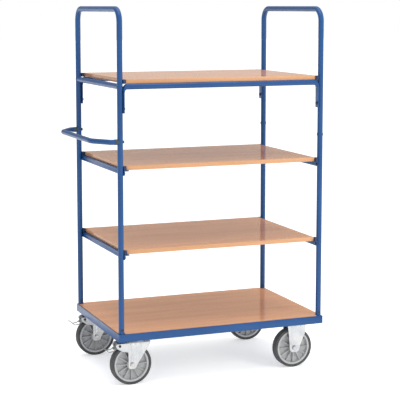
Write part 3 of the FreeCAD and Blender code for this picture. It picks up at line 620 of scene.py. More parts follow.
# %% Bent tube tree
def make_bent_tube_tree():
    inputs = (("Runs", "Geometry"), ("Tube radius", "Float"), ("Steps in a bend", "Int"),
              ("Steps round the tube", "Int"), ("Finish", "Material"))
    tree = new_tree("bent_tube", inputs, "Tube")
    nodes, links = tree.nodes, tree.links
    given = nodes.new("NodeGroupInput")
    given.label = "Runs and sizes"
    runs = nodes.new("GeometryNodeMeshToCurve")
    runs.label = "Runs as a curve"
    corner = nodes.new("GeometryNodeInputNamedAttribute")
    corner.label = "Radius at each corner"
    corner.inputs["Name"].default_value = "bend_radius"
    former = nodes.new("GeometryNodeFilletCurve")
    former.label = "Bend round the former"
    former.mode = "POLY"
    section = nodes.new("GeometryNodeCurvePrimitiveCircle")
    section.label = "Pipe section"
    sweep = nodes.new("GeometryNodeCurveToMesh")
    sweep.label = "Draw the pipe"
    sweep.inputs["Fill Caps"].default_value = True
    solid = nodes.new("GeometryNodeRealizeInstances")
    solid.label = "Real geometry"
    finish_node = nodes.new("GeometryNodeSetMaterial")
    finish_node.label = "Finish"
    out = nodes.new("NodeGroupOutput")
    out.label = "Tube"
    lay_out((given, runs, corner, former, section, sweep, solid, finish_node, out))
    links.new(given.outputs["Runs"], runs.inputs["Mesh"])
    links.new(runs.outputs["Curve"], former.inputs["Curve"])
    links.new(corner.outputs["Attribute"], former.inputs["Radius"])
    links.new(given.outputs["Steps in a bend"], former.inputs["Count"])
    links.new(given.outputs["Tube radius"], section.inputs["Radius"])
    links.new(given.outputs["Steps round the tube"], section.inputs["Resolution"])
    links.new(former.outputs["Curve"], sweep.inputs["Curve"])
    links.new(section.outputs["Curve"], sweep.inputs["Profile Curve"])
    links.new(sweep.outputs["Mesh"], solid.inputs["Geometry"])
    links.new(solid.outputs["Geometry"], finish_node.inputs["Geometry"])
    links.new(given.outputs["Finish"], finish_node.inputs["Material"])
    links.new(finish_node.outputs["Geometry"], out.inputs["Tube"])
    return tree


bent_tube_tree = make_bent_tube_tree()
print(bent_tube_tree.name, "has", len(bent_tube_tree.nodes), "nodes")

# %% A tube through corner points
STEPS_IN_A_BEND = 14
STEPS_ROUND_A_TUBE = 40
TUBE_CREASE = 40


def bent_tube(name, corners, radii, tube_radius):
    """Tube through corner points, each with its own bend radius."""
    mesh = bpy.data.meshes.new(name)
    mesh.from_pydata(corners, [(i, i + 1) for i in range(len(corners) - 1)], [])
    mesh.attributes.new("bend_radius", "FLOAT", "POINT").data.foreach_set("value", radii)
    tube = grow(link_mesh(mesh), bent_tube_tree, {
        "Tube radius": tube_radius, "Steps in a bend": STEPS_IN_A_BEND,
        "Steps round the tube": STEPS_ROUND_A_TUBE, "Finish": powder_coat})
    crease(tube.data, TUBE_CREASE)
    return tube


print("a bend has", STEPS_IN_A_BEND, "steps, and a section has", STEPS_ROUND_A_TUBE, "points")

# %% Upright end frames
END_BEND = 60 * MM
posts = {}
for end in ENDS:
    node = f"{end}_end_frame"
    low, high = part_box(node)
    post_radius = (high.x - low.x) / 2
    post_x, post_y, top_z = (low.x + high.x) / 2, high.y - post_radius, high.z - post_radius
    posts[end] = Vector((post_x, post_y, top_z))
    corners = [(post_x, -post_y, low.z), (post_x, -post_y, top_z),
               (post_x, post_y, top_z), (post_x, post_y, low.z)]
    finish(bent_tube(f"{end}_end_frame_tube", corners, [0, END_BEND, END_BEND, 0], post_radius), node)
print("posts at x:", {end: round(place.x / MM) for end, place in posts.items()})

# %% [markdown]
# ## Push handle
# The handle is a slightly thinner pipe that stands out from the left posts. Its legs leave the
# collars straight, turn inwards at a knee and meet the grip in a wide bend. That is again a run of
# corners with radii, so the same tree bends it. One half is written down and the other mirrored,
# which keeps the two sides alike.

# %% Bent push handle
GRIP_HALF = 240 * MM
GRIP_BEND = 60 * MM
KNEE_BEND = 25 * MM
KNEE_RUN = 18 * MM
low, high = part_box("push_handle")
handle_radius = (high.z - low.z) / 2
grip_x, leg_y, handle_z = low.x + handle_radius, high.y - handle_radius, (low.z + high.z) / 2
half_handle = [(high.x, leg_y), (high.x - KNEE_RUN, leg_y), (grip_x, GRIP_HALF)]
corners = [(x, -y, handle_z) for x, y in half_handle]
corners += [(x, y, handle_z) for x, y in reversed(half_handle)]
radii = [0, KNEE_BEND, GRIP_BEND, GRIP_BEND, KNEE_BEND, 0]
finish(bent_tube("push_handle_tube", corners, radii, handle_radius), "push_handle")
print("grip stands out by", round((posts["left"].x - grip_x) / MM), "mm")

# %% Top end rails
def middle(node):
    """Centre of a CAD node's box."""
    low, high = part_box(node)
    return (low + high) / 2


for end in ENDS:
    node = f"top_{end}_rail"
    place, rail_z = posts[end], middle(node).z
    runs = [(place.x, -place.y, rail_z), (place.x, place.y, rail_z)]
    finish(bent_tube(f"{node}_tube", runs, [0, 0], post_radius), node)
print("top end rails at a height of", round(rail_z / MM), "mm")

# %% [markdown]
# ## Weld beads
# The two short top rails are welded to the posts. Where two equal tubes meet, the joint runs in a
# saddle: down one side, to the middle of the post and back. A bead lies in that joint, with the
# small overlapping ripples that the torch leaves. The tree sweeps a circle along the saddle, and
# swells its radius in waves along the way.

# %% Weld bead tree
def make_weld_bead_tree():
    inputs = (("Joint", "Geometry"), ("Bead radius", "Float"), ("Ripple spacing", "Float"),
              ("Ripple height", "Float"), ("Finish", "Material"))
    tree = new_tree("weld_bead", inputs, "Bead")
    nodes, links = tree.nodes, tree.links
    given = nodes.new("NodeGroupInput")
    given.label = "Places and sizes"
    joint = nodes.new("GeometryNodeMeshToCurve")
    joint.label = "Joint as a curve"
    along = nodes.new("GeometryNodeSplineParameter")
    along.label = "Length along the joint"
    phase = nodes.new("ShaderNodeMath")
    phase.label = "Which ripple"
    phase.operation = "DIVIDE"
    turn = nodes.new("ShaderNodeMath")
    turn.label = "Ripples to radians"
    turn.operation = "MULTIPLY"
    turn.inputs[1].default_value = 2 * math.pi
    wave = nodes.new("ShaderNodeMath")
    wave.label = "Wave"
    wave.operation = "SINE"
    swell = nodes.new("ShaderNodeMath")
    swell.label = "Swell the bead"
    swell.operation = "MULTIPLY_ADD"
    swell.inputs[2].default_value = 1.0
    width = nodes.new("GeometryNodeSetCurveRadius")
    width.label = "Rippled width"
    section = nodes.new("GeometryNodeCurvePrimitiveCircle")
    section.label = "Bead section"
    section.inputs["Resolution"].default_value = 10
    own_radius = nodes.new("GeometryNodeInputRadius")
    own_radius.label = "Curve's own radius"
    sweep = nodes.new("GeometryNodeCurveToMesh")
    sweep.label = "Lay the bead"
    solid = nodes.new("GeometryNodeRealizeInstances")
    solid.label = "Real geometry"
    finish_node = nodes.new("GeometryNodeSetMaterial")
    finish_node.label = "Finish"
    out = nodes.new("NodeGroupOutput")
    out.label = "Finished shape"
    lay_out((given, joint, along, phase, turn, wave, swell, width, section, own_radius, sweep, solid,
             finish_node, out))
    links.new(given.outputs["Joint"], joint.inputs["Mesh"])
    links.new(along.outputs["Length"], phase.inputs[0])
    links.new(given.outputs["Ripple spacing"], phase.inputs[1])
    links.new(phase.outputs["Value"], turn.inputs[0])
    links.new(turn.outputs["Value"], wave.inputs[0])
    links.new(wave.outputs["Value"], swell.inputs[0])
    links.new(given.outputs["Ripple height"], swell.inputs[1])
    links.new(joint.outputs["Curve"], width.inputs["Curve"])
    links.new(swell.outputs["Value"], width.inputs["Radius"])
    links.new(given.outputs["Bead radius"], section.inputs["Radius"])
    links.new(width.outputs["Curve"], sweep.inputs["Curve"])
    links.new(section.outputs["Curve"], sweep.inputs["Profile Curve"])
    links.new(own_radius.outputs["Radius"], sweep.inputs["Scale"])
    links.new(sweep.outputs["Mesh"], solid.inputs["Geometry"])
    links.new(solid.outputs["Geometry"], finish_node.inputs["Geometry"])
    links.new(given.outputs["Finish"], finish_node.inputs["Material"])
    links.new(finish_node.outputs["Geometry"], out.inputs["Bead"])
    return tree


weld_bead_tree = make_weld_bead_tree()
print(weld_bead_tree.name, "has", len(weld_bead_tree.nodes), "nodes")

# %% Beads round the top end rails
SADDLE_STEPS = 96
BEAD_RADIUS = 1.7 * MM
RIPPLE_SPACING = 2.4 * MM
RIPPLE_HEIGHT = 0.16
BEAD_CREASE = 60
for end in ENDS:
    place, rail_z = posts[end], middle(f"top_{end}_rail").z
    points, edges = [], []
    for side in (-1, 1):
        first = len(points)
        for step in range(SADDLE_STEPS):
            angle = 2 * math.pi * step / SADDLE_STEPS
            reach = place.y - post_radius * abs(math.sin(angle))
            points.append((place.x + post_radius * math.cos(angle), side * reach,
                           rail_z + post_radius * math.sin(angle)))
            edges.append((first + step, first + (step + 1) % SADDLE_STEPS))
    mesh = bpy.data.meshes.new(f"top_{end}_rail_welds")
    mesh.from_pydata(points, edges, [])
    beads = grow(link_mesh(mesh), weld_bead_tree, {
        "Bead radius": BEAD_RADIUS, "Ripple spacing": RIPPLE_SPACING, "Ripple height": RIPPLE_HEIGHT,
        "Finish": powder_coat})
    crease(beads.data, BEAD_CREASE)
    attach(beads, NODE_BODY[f"top_{end}_rail"])
    print("weld beads at the", end, "end:", len(beads.data.polygons), "faces")

# %% [markdown]
# ## Long top rails
# Each long rail is one length of the same pipe. Its two ends are squashed flat in a press, bent
# down, and bolted to the inside of the posts. The section changes from a circle to a flat strap
# with round corners, and a superellipse covers both: its two half sizes and its squareness move
# from one set of values to the other. Rings with such sections are placed along the rail's line
# and joined into a skin.

# %% Lofted rails
RING_POINTS = 40
STRAP_HALF_WIDTH = 17 * MM
STRAP_THICKNESS = 6 * MM
STRAP_SQUARENESS = 0.28
BEND_INSIDE = 17 * MM
FLATTENING = 2.6
BEND_STEPS = 20
STRAIGHT_STEPS = 4
LEG_TIP = 1.5 * MM
LEG_TIP_SHRINK = 0.8
RAIL_CREASE = 50


def ring_section(turn, shrink):
    """Points (along Y, out from the inside of the bend) of the pipe at an angle into its bend."""
    roundness = max(math.cos(turn), 0.0) ** FLATTENING
    half_width = STRAP_HALF_WIDTH + (post_radius - STRAP_HALF_WIDTH) * roundness
    half_thickness = STRAP_THICKNESS / 2 + (post_radius - STRAP_THICKNESS / 2) * roundness
    power = STRAP_SQUARENESS + (1 - STRAP_SQUARENESS) * roundness
    section = []
    for step in range(RING_POINTS):
        angle = 2 * math.pi * (step + 0.5) / RING_POINTS
        across, up = math.cos(angle), math.sin(angle)
        section.append((shrink * half_width * math.copysign(abs(across) ** power, across),
                        half_thickness * (1 + shrink * math.copysign(abs(up) ** power, up))))
    return section


def rail_stations(bend_x, bend_z, leg_bottom):
    """(distance along X, height, turn, shrink) of the sections, from the middle to the leg's end."""
    down = math.pi / 2
    stations = [(bend_x * step / STRAIGHT_STEPS, bend_z, 0.0, 1.0) for step in range(STRAIGHT_STEPS)]
    stations += [(bend_x, bend_z, down * step / BEND_STEPS, 1.0) for step in range(BEND_STEPS + 1)]
    stations.append((bend_x, leg_bottom + LEG_TIP, down, 1.0))
    stations.append((bend_x, leg_bottom, down, LEG_TIP_SHRINK))
    return stations


centre_x = (posts["left"].x + posts["right"].x) / 2
for side in SIDES:
    node = f"top_{side}_rail"
    low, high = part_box(node)
    bend_x = high.x - STRAP_THICKNESS - BEND_INSIDE - centre_x
    half = rail_stations(bend_x, high.z - 2 * post_radius - BEND_INSIDE, low.z)
    line = [(-1, *station) for station in reversed(half[1:])] + [(1, *station) for station in half]
    shape = bmesh.new()
    rings = []
    for end, distance, height, turn, shrink in line:
        ring = []
        for across, up in ring_section(turn, shrink):
            reach = BEND_INSIDE + up
            ring.append(shape.verts.new((centre_x + end * (distance + reach * math.sin(turn)),
                                         (low.y + high.y) / 2 + across,
                                         height + reach * math.cos(turn))))
        rings.append(ring)
    for ring, after in zip(rings, rings[1:]):
        for step in range(RING_POINTS):
            ahead = (step + 1) % RING_POINTS
            shape.faces.new((ring[step], ring[ahead], after[ahead], after[step]))
    shape.faces.new(rings[0])
    shape.faces.new(rings[-1])
    bmesh.ops.recalc_face_normals(shape, faces=shape.faces)
    mesh = mesh_from_bmesh(f"{node}_pressed", shape)
    crease(mesh, RAIL_CREASE)
    finish(link_mesh(mesh), node, powder_coat)
    print(node, "rings:", len(rings))

# %% [markdown]
# ## Bolts and nuts
# Bolts and nuts hold the trolley together, and they all follow one pattern: a hexagon whose
# corners are turned off at thirty degrees, on a thin flange, and for a bolt a threaded shank on
# the other side. Cutting a hexagonal bar with a cone is how a lathe does it, but a cut on such
# small meshes can fail, so the tree computes the shape: it takes a fine cylinder and moves each
# point of its foot, wall and crown to where the hexagon and the chamfer are. It then puts a head
# on every seat. A seat is a point with the direction that the head faces and the length of shank
# behind it. A seeded random turn leaves no two heads at the same angle.

# %% Head of a bolt or nut
CROWN_SHARE = 0.475     # radius of the flat crown, as a share of the size across flats


def head_stage(nodes, links, given):
    """The nodes for one chamfered hexagon on its flange, and the socket that it comes out of."""
    bar = nodes.new("GeometryNodeMeshCylinder")
    bar.label = "Foot, wall top and crown"
    bar.inputs["Vertices"].default_value = 48
    bar.inputs["Side Segments"].default_value = 2
    bar.inputs["Radius"].default_value = 1.0
    bar.inputs["Depth"].default_value = 2.0
    place = nodes.new("GeometryNodeInputPosition")
    place.label = "Place on the cylinder"
    parts = nodes.new("ShaderNodeSeparateXYZ")
    parts.label = "Across, deep and up"
    bearing = nodes.new("ShaderNodeMath")
    bearing.label = "Angle round the bolt"
    bearing.operation = "ARCTAN2"
    from_flat = nodes.new("ShaderNodeMath")
    from_flat.label = "Angle from the nearest flat"
    from_flat.operation = "WRAP"
    from_flat.inputs[1].default_value = math.pi / 6
    from_flat.inputs[2].default_value = -math.pi / 6
    lean = nodes.new("ShaderNodeMath")
    lean.label = "Lean towards the corner"
    lean.operation = "COSINE"
    half_flats = nodes.new("ShaderNodeMath")
    half_flats.label = "Half the size across flats"
    half_flats.operation = "MULTIPLY"
    half_flats.inputs[1].default_value = 0.5
    outline = nodes.new("ShaderNodeMath")
    outline.label = "Radius of the hexagon"
    outline.operation = "DIVIDE"
    crown_radius = nodes.new("ShaderNodeMath")
    crown_radius.label = "Flat crown left by the chamfer"
    crown_radius.operation = "MULTIPLY"
    crown_radius.inputs[1].default_value = CROWN_SHARE
    overhang = nodes.new("ShaderNodeMath")
    overhang.label = "Outside the crown"
    overhang.operation = "SUBTRACT"
    drop = nodes.new("ShaderNodeMath")
    drop.label = "Thirty-degree chamfer"
    drop.operation = "MULTIPLY"
    drop.inputs[1].default_value = 1 / math.sqrt(3)
    wall_top = nodes.new("ShaderNodeMath")
    wall_top.label = "Height of the wall"
    wall_top.operation = "SUBTRACT"
    is_crown = nodes.new("ShaderNodeMath")
    is_crown.label = "On the crown"
    is_crown.operation = "GREATER_THAN"
    is_crown.inputs[1].default_value = 0.5
    above_foot = nodes.new("ShaderNodeMath")
    above_foot.label = "Above the foot"
    above_foot.operation = "GREATER_THAN"
    above_foot.inputs[1].default_value = -0.5
    wall_height = nodes.new("ShaderNodeMix")
    wall_height.label = "Foot or wall top"
    level = nodes.new("ShaderNodeMix")
    level.label = "Wall or crown height"
    radius = nodes.new("ShaderNodeMix")
    radius.label = "Wall or crown radius"
    out_by = nodes.new("ShaderNodeCombineXYZ")
    out_by.label = "Scale outwards"
    shaped = nodes.new("ShaderNodeVectorMath")
    shaped.label = "Hexagon seen from above"
    shaped.operation = "MULTIPLY"
    level_up = nodes.new("ShaderNodeCombineXYZ")
    level_up.label = "Lift of the point"
    flat_place = nodes.new("ShaderNodeVectorMath")
    flat_place.label = "Place on the head"
    flat_place.operation = "ADD"
    chamfered = nodes.new("GeometryNodeSetPosition")
    chamfered.label = "Hexagon with turned corners"
    flange = nodes.new("GeometryNodeMeshCylinder")
    flange.label = "Flange"
    flange.inputs["Vertices"].default_value = 40
    half_flange = nodes.new("ShaderNodeMath")
    half_flange.label = "Half of its thickness"
    half_flange.operation = "MULTIPLY"
    half_flange.inputs[1].default_value = 0.5
    flange_up = nodes.new("ShaderNodeCombineXYZ")
    flange_up.label = "Lift of the flange"
    flange_stand = nodes.new("GeometryNodeTransform")
    flange_stand.label = "Flange on its seat"
    head = nodes.new("GeometryNodeJoinGeometry")
    head.label = "Head"
    lay_out((bar, place, parts, bearing, from_flat, lean, half_flats, outline, crown_radius, overhang,
             drop), top=500)
    lay_out((wall_top, is_crown, above_foot, wall_height, level, radius, out_by, shaped, level_up,
             flat_place, chamfered), top=200)
    lay_out((flange, half_flange, flange_up, flange_stand, head), top=-100)
    links.new(place.outputs["Position"], parts.inputs["Vector"])
    links.new(parts.outputs["Y"], bearing.inputs[0])
    links.new(parts.outputs["X"], bearing.inputs[1])
    links.new(bearing.outputs["Value"], from_flat.inputs[0])
    links.new(from_flat.outputs["Value"], lean.inputs[0])
    links.new(given.outputs["Across flats"], half_flats.inputs[0])
    links.new(half_flats.outputs["Value"], outline.inputs[0])
    links.new(lean.outputs["Value"], outline.inputs[1])
    links.new(given.outputs["Across flats"], crown_radius.inputs[0])
    links.new(outline.outputs["Value"], overhang.inputs[0])
    links.new(crown_radius.outputs["Value"], overhang.inputs[1])
    links.new(overhang.outputs["Value"], drop.inputs[0])
    links.new(given.outputs["Height"], wall_top.inputs[0])
    links.new(drop.outputs["Value"], wall_top.inputs[1])
    links.new(parts.outputs["Z"], is_crown.inputs[0])
    links.new(parts.outputs["Z"], above_foot.inputs[0])
    links.new(above_foot.outputs["Value"], wall_height.inputs["Factor"])
    links.new(wall_top.outputs["Value"], wall_height.inputs["B"])
    links.new(is_crown.outputs["Value"], level.inputs["Factor"])
    links.new(wall_height.outputs["Result"], level.inputs["A"])
    links.new(given.outputs["Height"], level.inputs["B"])
    links.new(is_crown.outputs["Value"], radius.inputs["Factor"])
    links.new(outline.outputs["Value"], radius.inputs["A"])
    links.new(crown_radius.outputs["Value"], radius.inputs["B"])
    links.new(radius.outputs["Result"], out_by.inputs["X"])
    links.new(radius.outputs["Result"], out_by.inputs["Y"])
    links.new(place.outputs["Position"], shaped.inputs[0])
    links.new(out_by.outputs["Vector"], shaped.inputs[1])
    links.new(level.outputs["Result"], level_up.inputs["Z"])
    links.new(shaped.outputs["Vector"], flat_place.inputs[0])
    links.new(level_up.outputs["Vector"], flat_place.inputs[1])
    links.new(bar.outputs["Mesh"], chamfered.inputs["Geometry"])
    links.new(flat_place.outputs["Vector"], chamfered.inputs["Position"])
    links.new(given.outputs["Flange radius"], flange.inputs["Radius"])
    links.new(given.outputs["Flange thickness"], flange.inputs["Depth"])
    links.new(given.outputs["Flange thickness"], half_flange.inputs[0])
    links.new(half_flange.outputs["Value"], flange_up.inputs["Z"])
    links.new(flange.outputs["Mesh"], flange_stand.inputs["Geometry"])
    links.new(flange_up.outputs["Vector"], flange_stand.inputs["Translation"])
    links.new(chamfered.outputs["Geometry"], head.inputs["Geometry"])
    links.new(flange_stand.outputs["Geometry"], head.inputs["Geometry"])
    return head.outputs["Geometry"]


print("a crown is", CROWN_SHARE * 2, "of the size across flats")

# %% Threaded shank
RIDGE_SHARE = 0.32      # radius of a thread's ridge, as a share of its pitch
THREAD_TURNS = 6.0


def shank_stage(nodes, links, given, facing, turned):
    """The nodes for the shanks with threaded tips, and the socket that they come out of."""
    reach = nodes.new("GeometryNodeInputNamedAttribute")
    reach.label = "Length of shank"
    reach.inputs["Name"].default_value = "reach"
    shank = nodes.new("GeometryNodeMeshCylinder")
    shank.label = "Shank, one metre long"
    shank.inputs["Vertices"].default_value = 24
    shank.inputs["Depth"].default_value = 1.0
    shank_down = nodes.new("GeometryNodeTransform")
    shank_down.label = "Hang it below the seat"
    shank_down.inputs["Translation"].default_value = (0, 0, -0.5)
    stretch = nodes.new("ShaderNodeCombineXYZ")
    stretch.label = "Stretch to the reach"
    stretch.inputs["X"].default_value = 1.0
    stretch.inputs["Y"].default_value = 1.0
    shanks = nodes.new("GeometryNodeInstanceOnPoints")
    shanks.label = "A shank behind every head"
    backwards = nodes.new("ShaderNodeMath")
    backwards.label = "Against the facing"
    backwards.operation = "MULTIPLY"
    backwards.inputs[1].default_value = -1.0
    to_tip = nodes.new("ShaderNodeVectorMath")
    to_tip.label = "From seat to tip"
    to_tip.operation = "SCALE"
    tips = nodes.new("GeometryNodeSetPosition")
    tips.label = "Tips of the shanks"
    thread_height = nodes.new("ShaderNodeMath")
    thread_height.label = "Length of the thread"
    thread_height.operation = "MULTIPLY"
    thread_height.inputs[1].default_value = THREAD_TURNS
    helix = nodes.new("GeometryNodeCurveSpiral")
    helix.label = "Turns of the thread"
    helix.inputs["Resolution"].default_value = 24
    helix.inputs["Rotations"].default_value = THREAD_TURNS
    ridge_radius = nodes.new("ShaderNodeMath")
    ridge_radius.label = "Size of the ridge"
    ridge_radius.operation = "MULTIPLY"
    ridge_radius.inputs[1].default_value = RIDGE_SHARE
    ridge = nodes.new("GeometryNodeCurvePrimitiveCircle")
    ridge.label = "Thread ridge"
    ridge.inputs["Resolution"].default_value = 5
    thread = nodes.new("GeometryNodeCurveToMesh")
    thread.label = "Cut thread"
    thread.inputs["Fill Caps"].default_value = True
    threads = nodes.new("GeometryNodeInstanceOnPoints")
    threads.label = "A thread at every tip"
    behind = nodes.new("GeometryNodeJoinGeometry")
    behind.label = "All that is behind the seats"
    lay_out((reach, shank, shank_down, stretch, shanks), top=-700)
    lay_out((backwards, to_tip, tips, thread_height, helix, ridge_radius, ridge, thread, threads,
             behind), top=-1000)
    links.new(given.outputs["Shank radius"], shank.inputs["Radius"])
    links.new(shank.outputs["Mesh"], shank_down.inputs["Geometry"])
    links.new(reach.outputs["Attribute"], stretch.inputs["Z"])
    links.new(given.outputs["Seats"], shanks.inputs["Points"])
    links.new(shank_down.outputs["Geometry"], shanks.inputs["Instance"])
    links.new(turned.outputs["Rotation"], shanks.inputs["Rotation"])
    links.new(stretch.outputs["Vector"], shanks.inputs["Scale"])
    links.new(reach.outputs["Attribute"], backwards.inputs[0])
    links.new(facing.outputs["Attribute"], to_tip.inputs["Vector"])
    links.new(backwards.outputs["Value"], to_tip.inputs["Scale"])
    links.new(given.outputs["Seats"], tips.inputs["Geometry"])
    links.new(to_tip.outputs["Vector"], tips.inputs["Offset"])
    links.new(given.outputs["Thread pitch"], thread_height.inputs[0])
    links.new(thread_height.outputs["Value"], helix.inputs["Height"])
    links.new(given.outputs["Shank radius"], helix.inputs["Start Radius"])
    links.new(given.outputs["Shank radius"], helix.inputs["End Radius"])
    links.new(given.outputs["Thread pitch"], ridge_radius.inputs[0])
    links.new(ridge_radius.outputs["Value"], ridge.inputs["Radius"])
    links.new(helix.outputs["Curve"], thread.inputs["Curve"])
    links.new(ridge.outputs["Curve"], thread.inputs["Profile Curve"])
    links.new(tips.outputs["Geometry"], threads.inputs["Points"])
    links.new(thread.outputs["Mesh"], threads.inputs["Instance"])
    links.new(turned.outputs["Rotation"], threads.inputs["Rotation"])
    links.new(shanks.outputs["Instances"], behind.inputs["Geometry"])
    links.new(threads.outputs["Instances"], behind.inputs["Geometry"])
    return behind.outputs["Geometry"]


print("turns of thread at a tip:", THREAD_TURNS)

# %% Fastener tree
def make_fastener_tree():
    inputs = (("Seats", "Geometry"), ("Across flats", "Float"), ("Height", "Float"),
              ("Flange radius", "Float"), ("Flange thickness", "Float"), ("Shank radius", "Float"),
              ("Thread pitch", "Float"), ("Has shank", "Bool"), ("Seed", "Int"), ("Finish", "Material"))
    tree = new_tree("hex_fastener", inputs, "Fasteners")
    nodes, links = tree.nodes, tree.links
    given = nodes.new("NodeGroupInput")
    given.label = "Places and sizes"
    given.location = (-300, 0)
    facing = nodes.new("GeometryNodeInputNamedAttribute")
    facing.label = "Way the head faces"
    facing.data_type = "FLOAT_VECTOR"
    facing.inputs["Name"].default_value = "facing"
    aim = nodes.new("FunctionNodeAlignRotationToVector")
    aim.label = "Point the axis that way"
    aim.axis = "Z"
    any_turn = nodes.new("FunctionNodeRandomValue")
    any_turn.label = "Where the wrench stopped"
    any_turn.data_type = "FLOAT"
    turn = nodes.new("FunctionNodeAxisAngleToRotation")
    turn.label = "Turn about the axis"
    turn.inputs["Axis"].default_value = (0, 0, 1)
    turned = nodes.new("FunctionNodeRotateRotation")
    turned.label = "Aimed and turned"
    turned.rotation_space = "LOCAL"
    heads = nodes.new("GeometryNodeInstanceOnPoints")
    heads.label = "A head on every seat"
    with_shank = nodes.new("GeometryNodeSwitch")
    with_shank.label = "Bolt or nut"
    with_shank.input_type = "GEOMETRY"
    whole = nodes.new("GeometryNodeJoinGeometry")
    whole.label = "Heads and shanks"
    solid = nodes.new("GeometryNodeRealizeInstances")
    solid.label = "Real geometry"
    finish_node = nodes.new("GeometryNodeSetMaterial")
    finish_node.label = "Finish"
    out = nodes.new("NodeGroupOutput")
    out.label = "Finished shape"
    lay_out((facing, aim, any_turn, turn, turned, heads, with_shank, whole, solid, finish_node, out),
            top=-400)
    head = head_stage(nodes, links, given)
    behind = shank_stage(nodes, links, given, facing, turned)
    links.new(facing.outputs["Attribute"], aim.inputs["Vector"])
    links.new(given.outputs["Seed"], any_turn.inputs["Seed"])
    links.new(any_turn.outputs["Value"], turn.inputs["Angle"])
    links.new(aim.outputs["Rotation"], turned.inputs["Rotation"])
    links.new(turn.outputs["Rotation"], turned.inputs["Rotate By"])
    links.new(given.outputs["Seats"], heads.inputs["Points"])
    links.new(head, heads.inputs["Instance"])
    links.new(turned.outputs["Rotation"], heads.inputs["Rotation"])
    links.new(given.outputs["Has shank"], with_shank.inputs["Switch"])
    links.new(behind, with_shank.inputs["True"])
    links.new(heads.outputs["Instances"], whole.inputs["Geometry"])
    links.new(with_shank.outputs["Output"], whole.inputs["Geometry"])
    links.new(whole.outputs["Geometry"], solid.inputs["Geometry"])
    links.new(solid.outputs["Geometry"], finish_node.inputs["Geometry"])
    links.new(given.outputs["Finish"], finish_node.inputs["Material"])
    links.new(finish_node.outputs["Geometry"], out.inputs["Fasteners"])
    return tree


fastener_tree = make_fastener_tree()
print(fastener_tree.name, "has", len(fastener_tree.nodes), "nodes")


# %% Seats of the fasteners
def loose_boxes(node):
    """(lowest, highest) corner of each loose part of a CAD node."""
    shape = merged_copy(node)
    waiting, boxes = set(shape.verts), []
    while waiting:
        island, edge_of_it = set(), [waiting.pop()]
        while edge_of_it:
            vert = edge_of_it.pop()
            island.add(vert)
            for edge in vert.link_edges:
                other = edge.other_vert(vert)
                if other in waiting:
                    waiting.remove(other)
                    edge_of_it.append(other)
        places = [vert.co for vert in island]
        boxes.append((Vector(map(min, zip(*places))), Vector(map(max, zip(*places)))))
    shape.free()
    return sorted(boxes, key=lambda box: tuple(round(value, 4) for value in box[0]))


HEX_CREASE = 28


def fasteners(name, seats, sizes, with_shank, seed, metal):
    """Bolts or nuts on seats of (point, way the head faces, length of shank)."""
    mesh = bpy.data.meshes.new(name)
    mesh.from_pydata([seat[0] for seat in seats], [], [])
    facing = [value for seat in seats for value in seat[1]]
    mesh.attributes.new("facing", "FLOAT_VECTOR", "POINT").data.foreach_set("vector", facing)
    mesh.attributes.new("reach", "FLOAT", "POINT").data.foreach_set("value", [seat[2] for seat in seats])
    flats, height, flange_radius, flange_thickness, shank_radius, pitch = (size * MM for size in sizes)
    piece = grow(link_mesh(mesh), fastener_tree, {
        "Across flats": flats, "Height": height, "Flange radius": flange_radius,
        "Flange thickness": flange_thickness, "Shank radius": shank_radius, "Thread pitch": pitch,
        "Has shank": with_shank, "Seed": seed, "Finish": metal})
    crease(piece.data, HEX_CREASE)
    return piece


print("bolts to seat in the castor plates:", len(loose_boxes("castor_bolts")))

# %% Tube bolts, M8
# Sizes are across flats, height, flange radius, flange thickness, shank radius, thread pitch.
M8_BOLT = (13.0, 5.3, 6.6, 0.4, 3.6, 1.25)
M8_NUT = (13.0, 6.5, 8.6, 1.4, 4.0, 1.25)
head_height = M8_BOLT[1] * MM
seats = []
for low, high in loose_boxes("frame_bolts"):
    place, end = (low + high) / 2, (-1 if low.x < centre_x else 1)
    seat_x = (low.x if end > 0 else high.x) + end * head_height
    seats.append(((seat_x, place.y, place.z), (-end, 0, 0), high.x - low.x - head_height))
bolts = fasteners("frame_bolt_set", seats, M8_BOLT, with_shank=True, seed=3, metal=black_zinc)
finish(bolts, "frame_bolts")

nut_seats = []
for low, high in loose_boxes("frame_nuts"):
    place, end = (low + high) / 2, (-1 if low.x < centre_x else 1)
    nut_seats.append(((low.x if end > 0 else high.x, place.y, place.z), (end, 0, 0), 0.0))
nuts = fasteners("frame_nut_set", nut_seats, M8_NUT, with_shank=False, seed=5, metal=black_zinc)
finish(nuts, "frame_nuts")
print("tube bolts:", len(seats), "tube nuts:", len(nut_seats))

# %% Castor bolts, M10
M10_BOLT = (17.0, 6.4, 8.5, 0.4, 4.6, 1.5)
M10_NUT = (17.0, 8.0, 9.6, 0.8, 5.0, 1.5)
head_height = M10_BOLT[1] * MM
seats = []
for low, high in loose_boxes("castor_bolts"):
    place, seat_z = (low + high) / 2, high.z - head_height
    seats.append(((place.x, place.y, seat_z), (0, 0, 1), seat_z - low.z))
bolts = fasteners("castor_bolt_set", seats, M10_BOLT, with_shank=True, seed=7, metal=zinc_fastener)
finish(bolts, "castor_bolts")

nut_seats = []
for low, high in loose_boxes("castor_nuts"):
    place = (low + high) / 2
    nut_seats.append(((place.x, place.y, high.z), (0, 0, -1), 0.0))
nuts = fasteners("castor_nut_set", nut_seats, M10_NUT, with_shank=False, seed=11, metal=zinc_fastener)
finish(nuts, "castor_nuts")
print("castor bolts:", len(seats), "castor nuts:", len(nut_seats))

# %% Axle bolts, M12
M12_BOLT = (19.0, 7.5, 9.4, 0.6, 5.6, 1.75)
M12_NUT = (19.0, 10.0, 10.8, 1.2, 6.0, 1.75)
TIP_PAST_NUT = 3 * MM
FIRST_NUT_SEED = 20
head_height, nut_height = M12_BOLT[1] * MM, M12_NUT[1] * MM


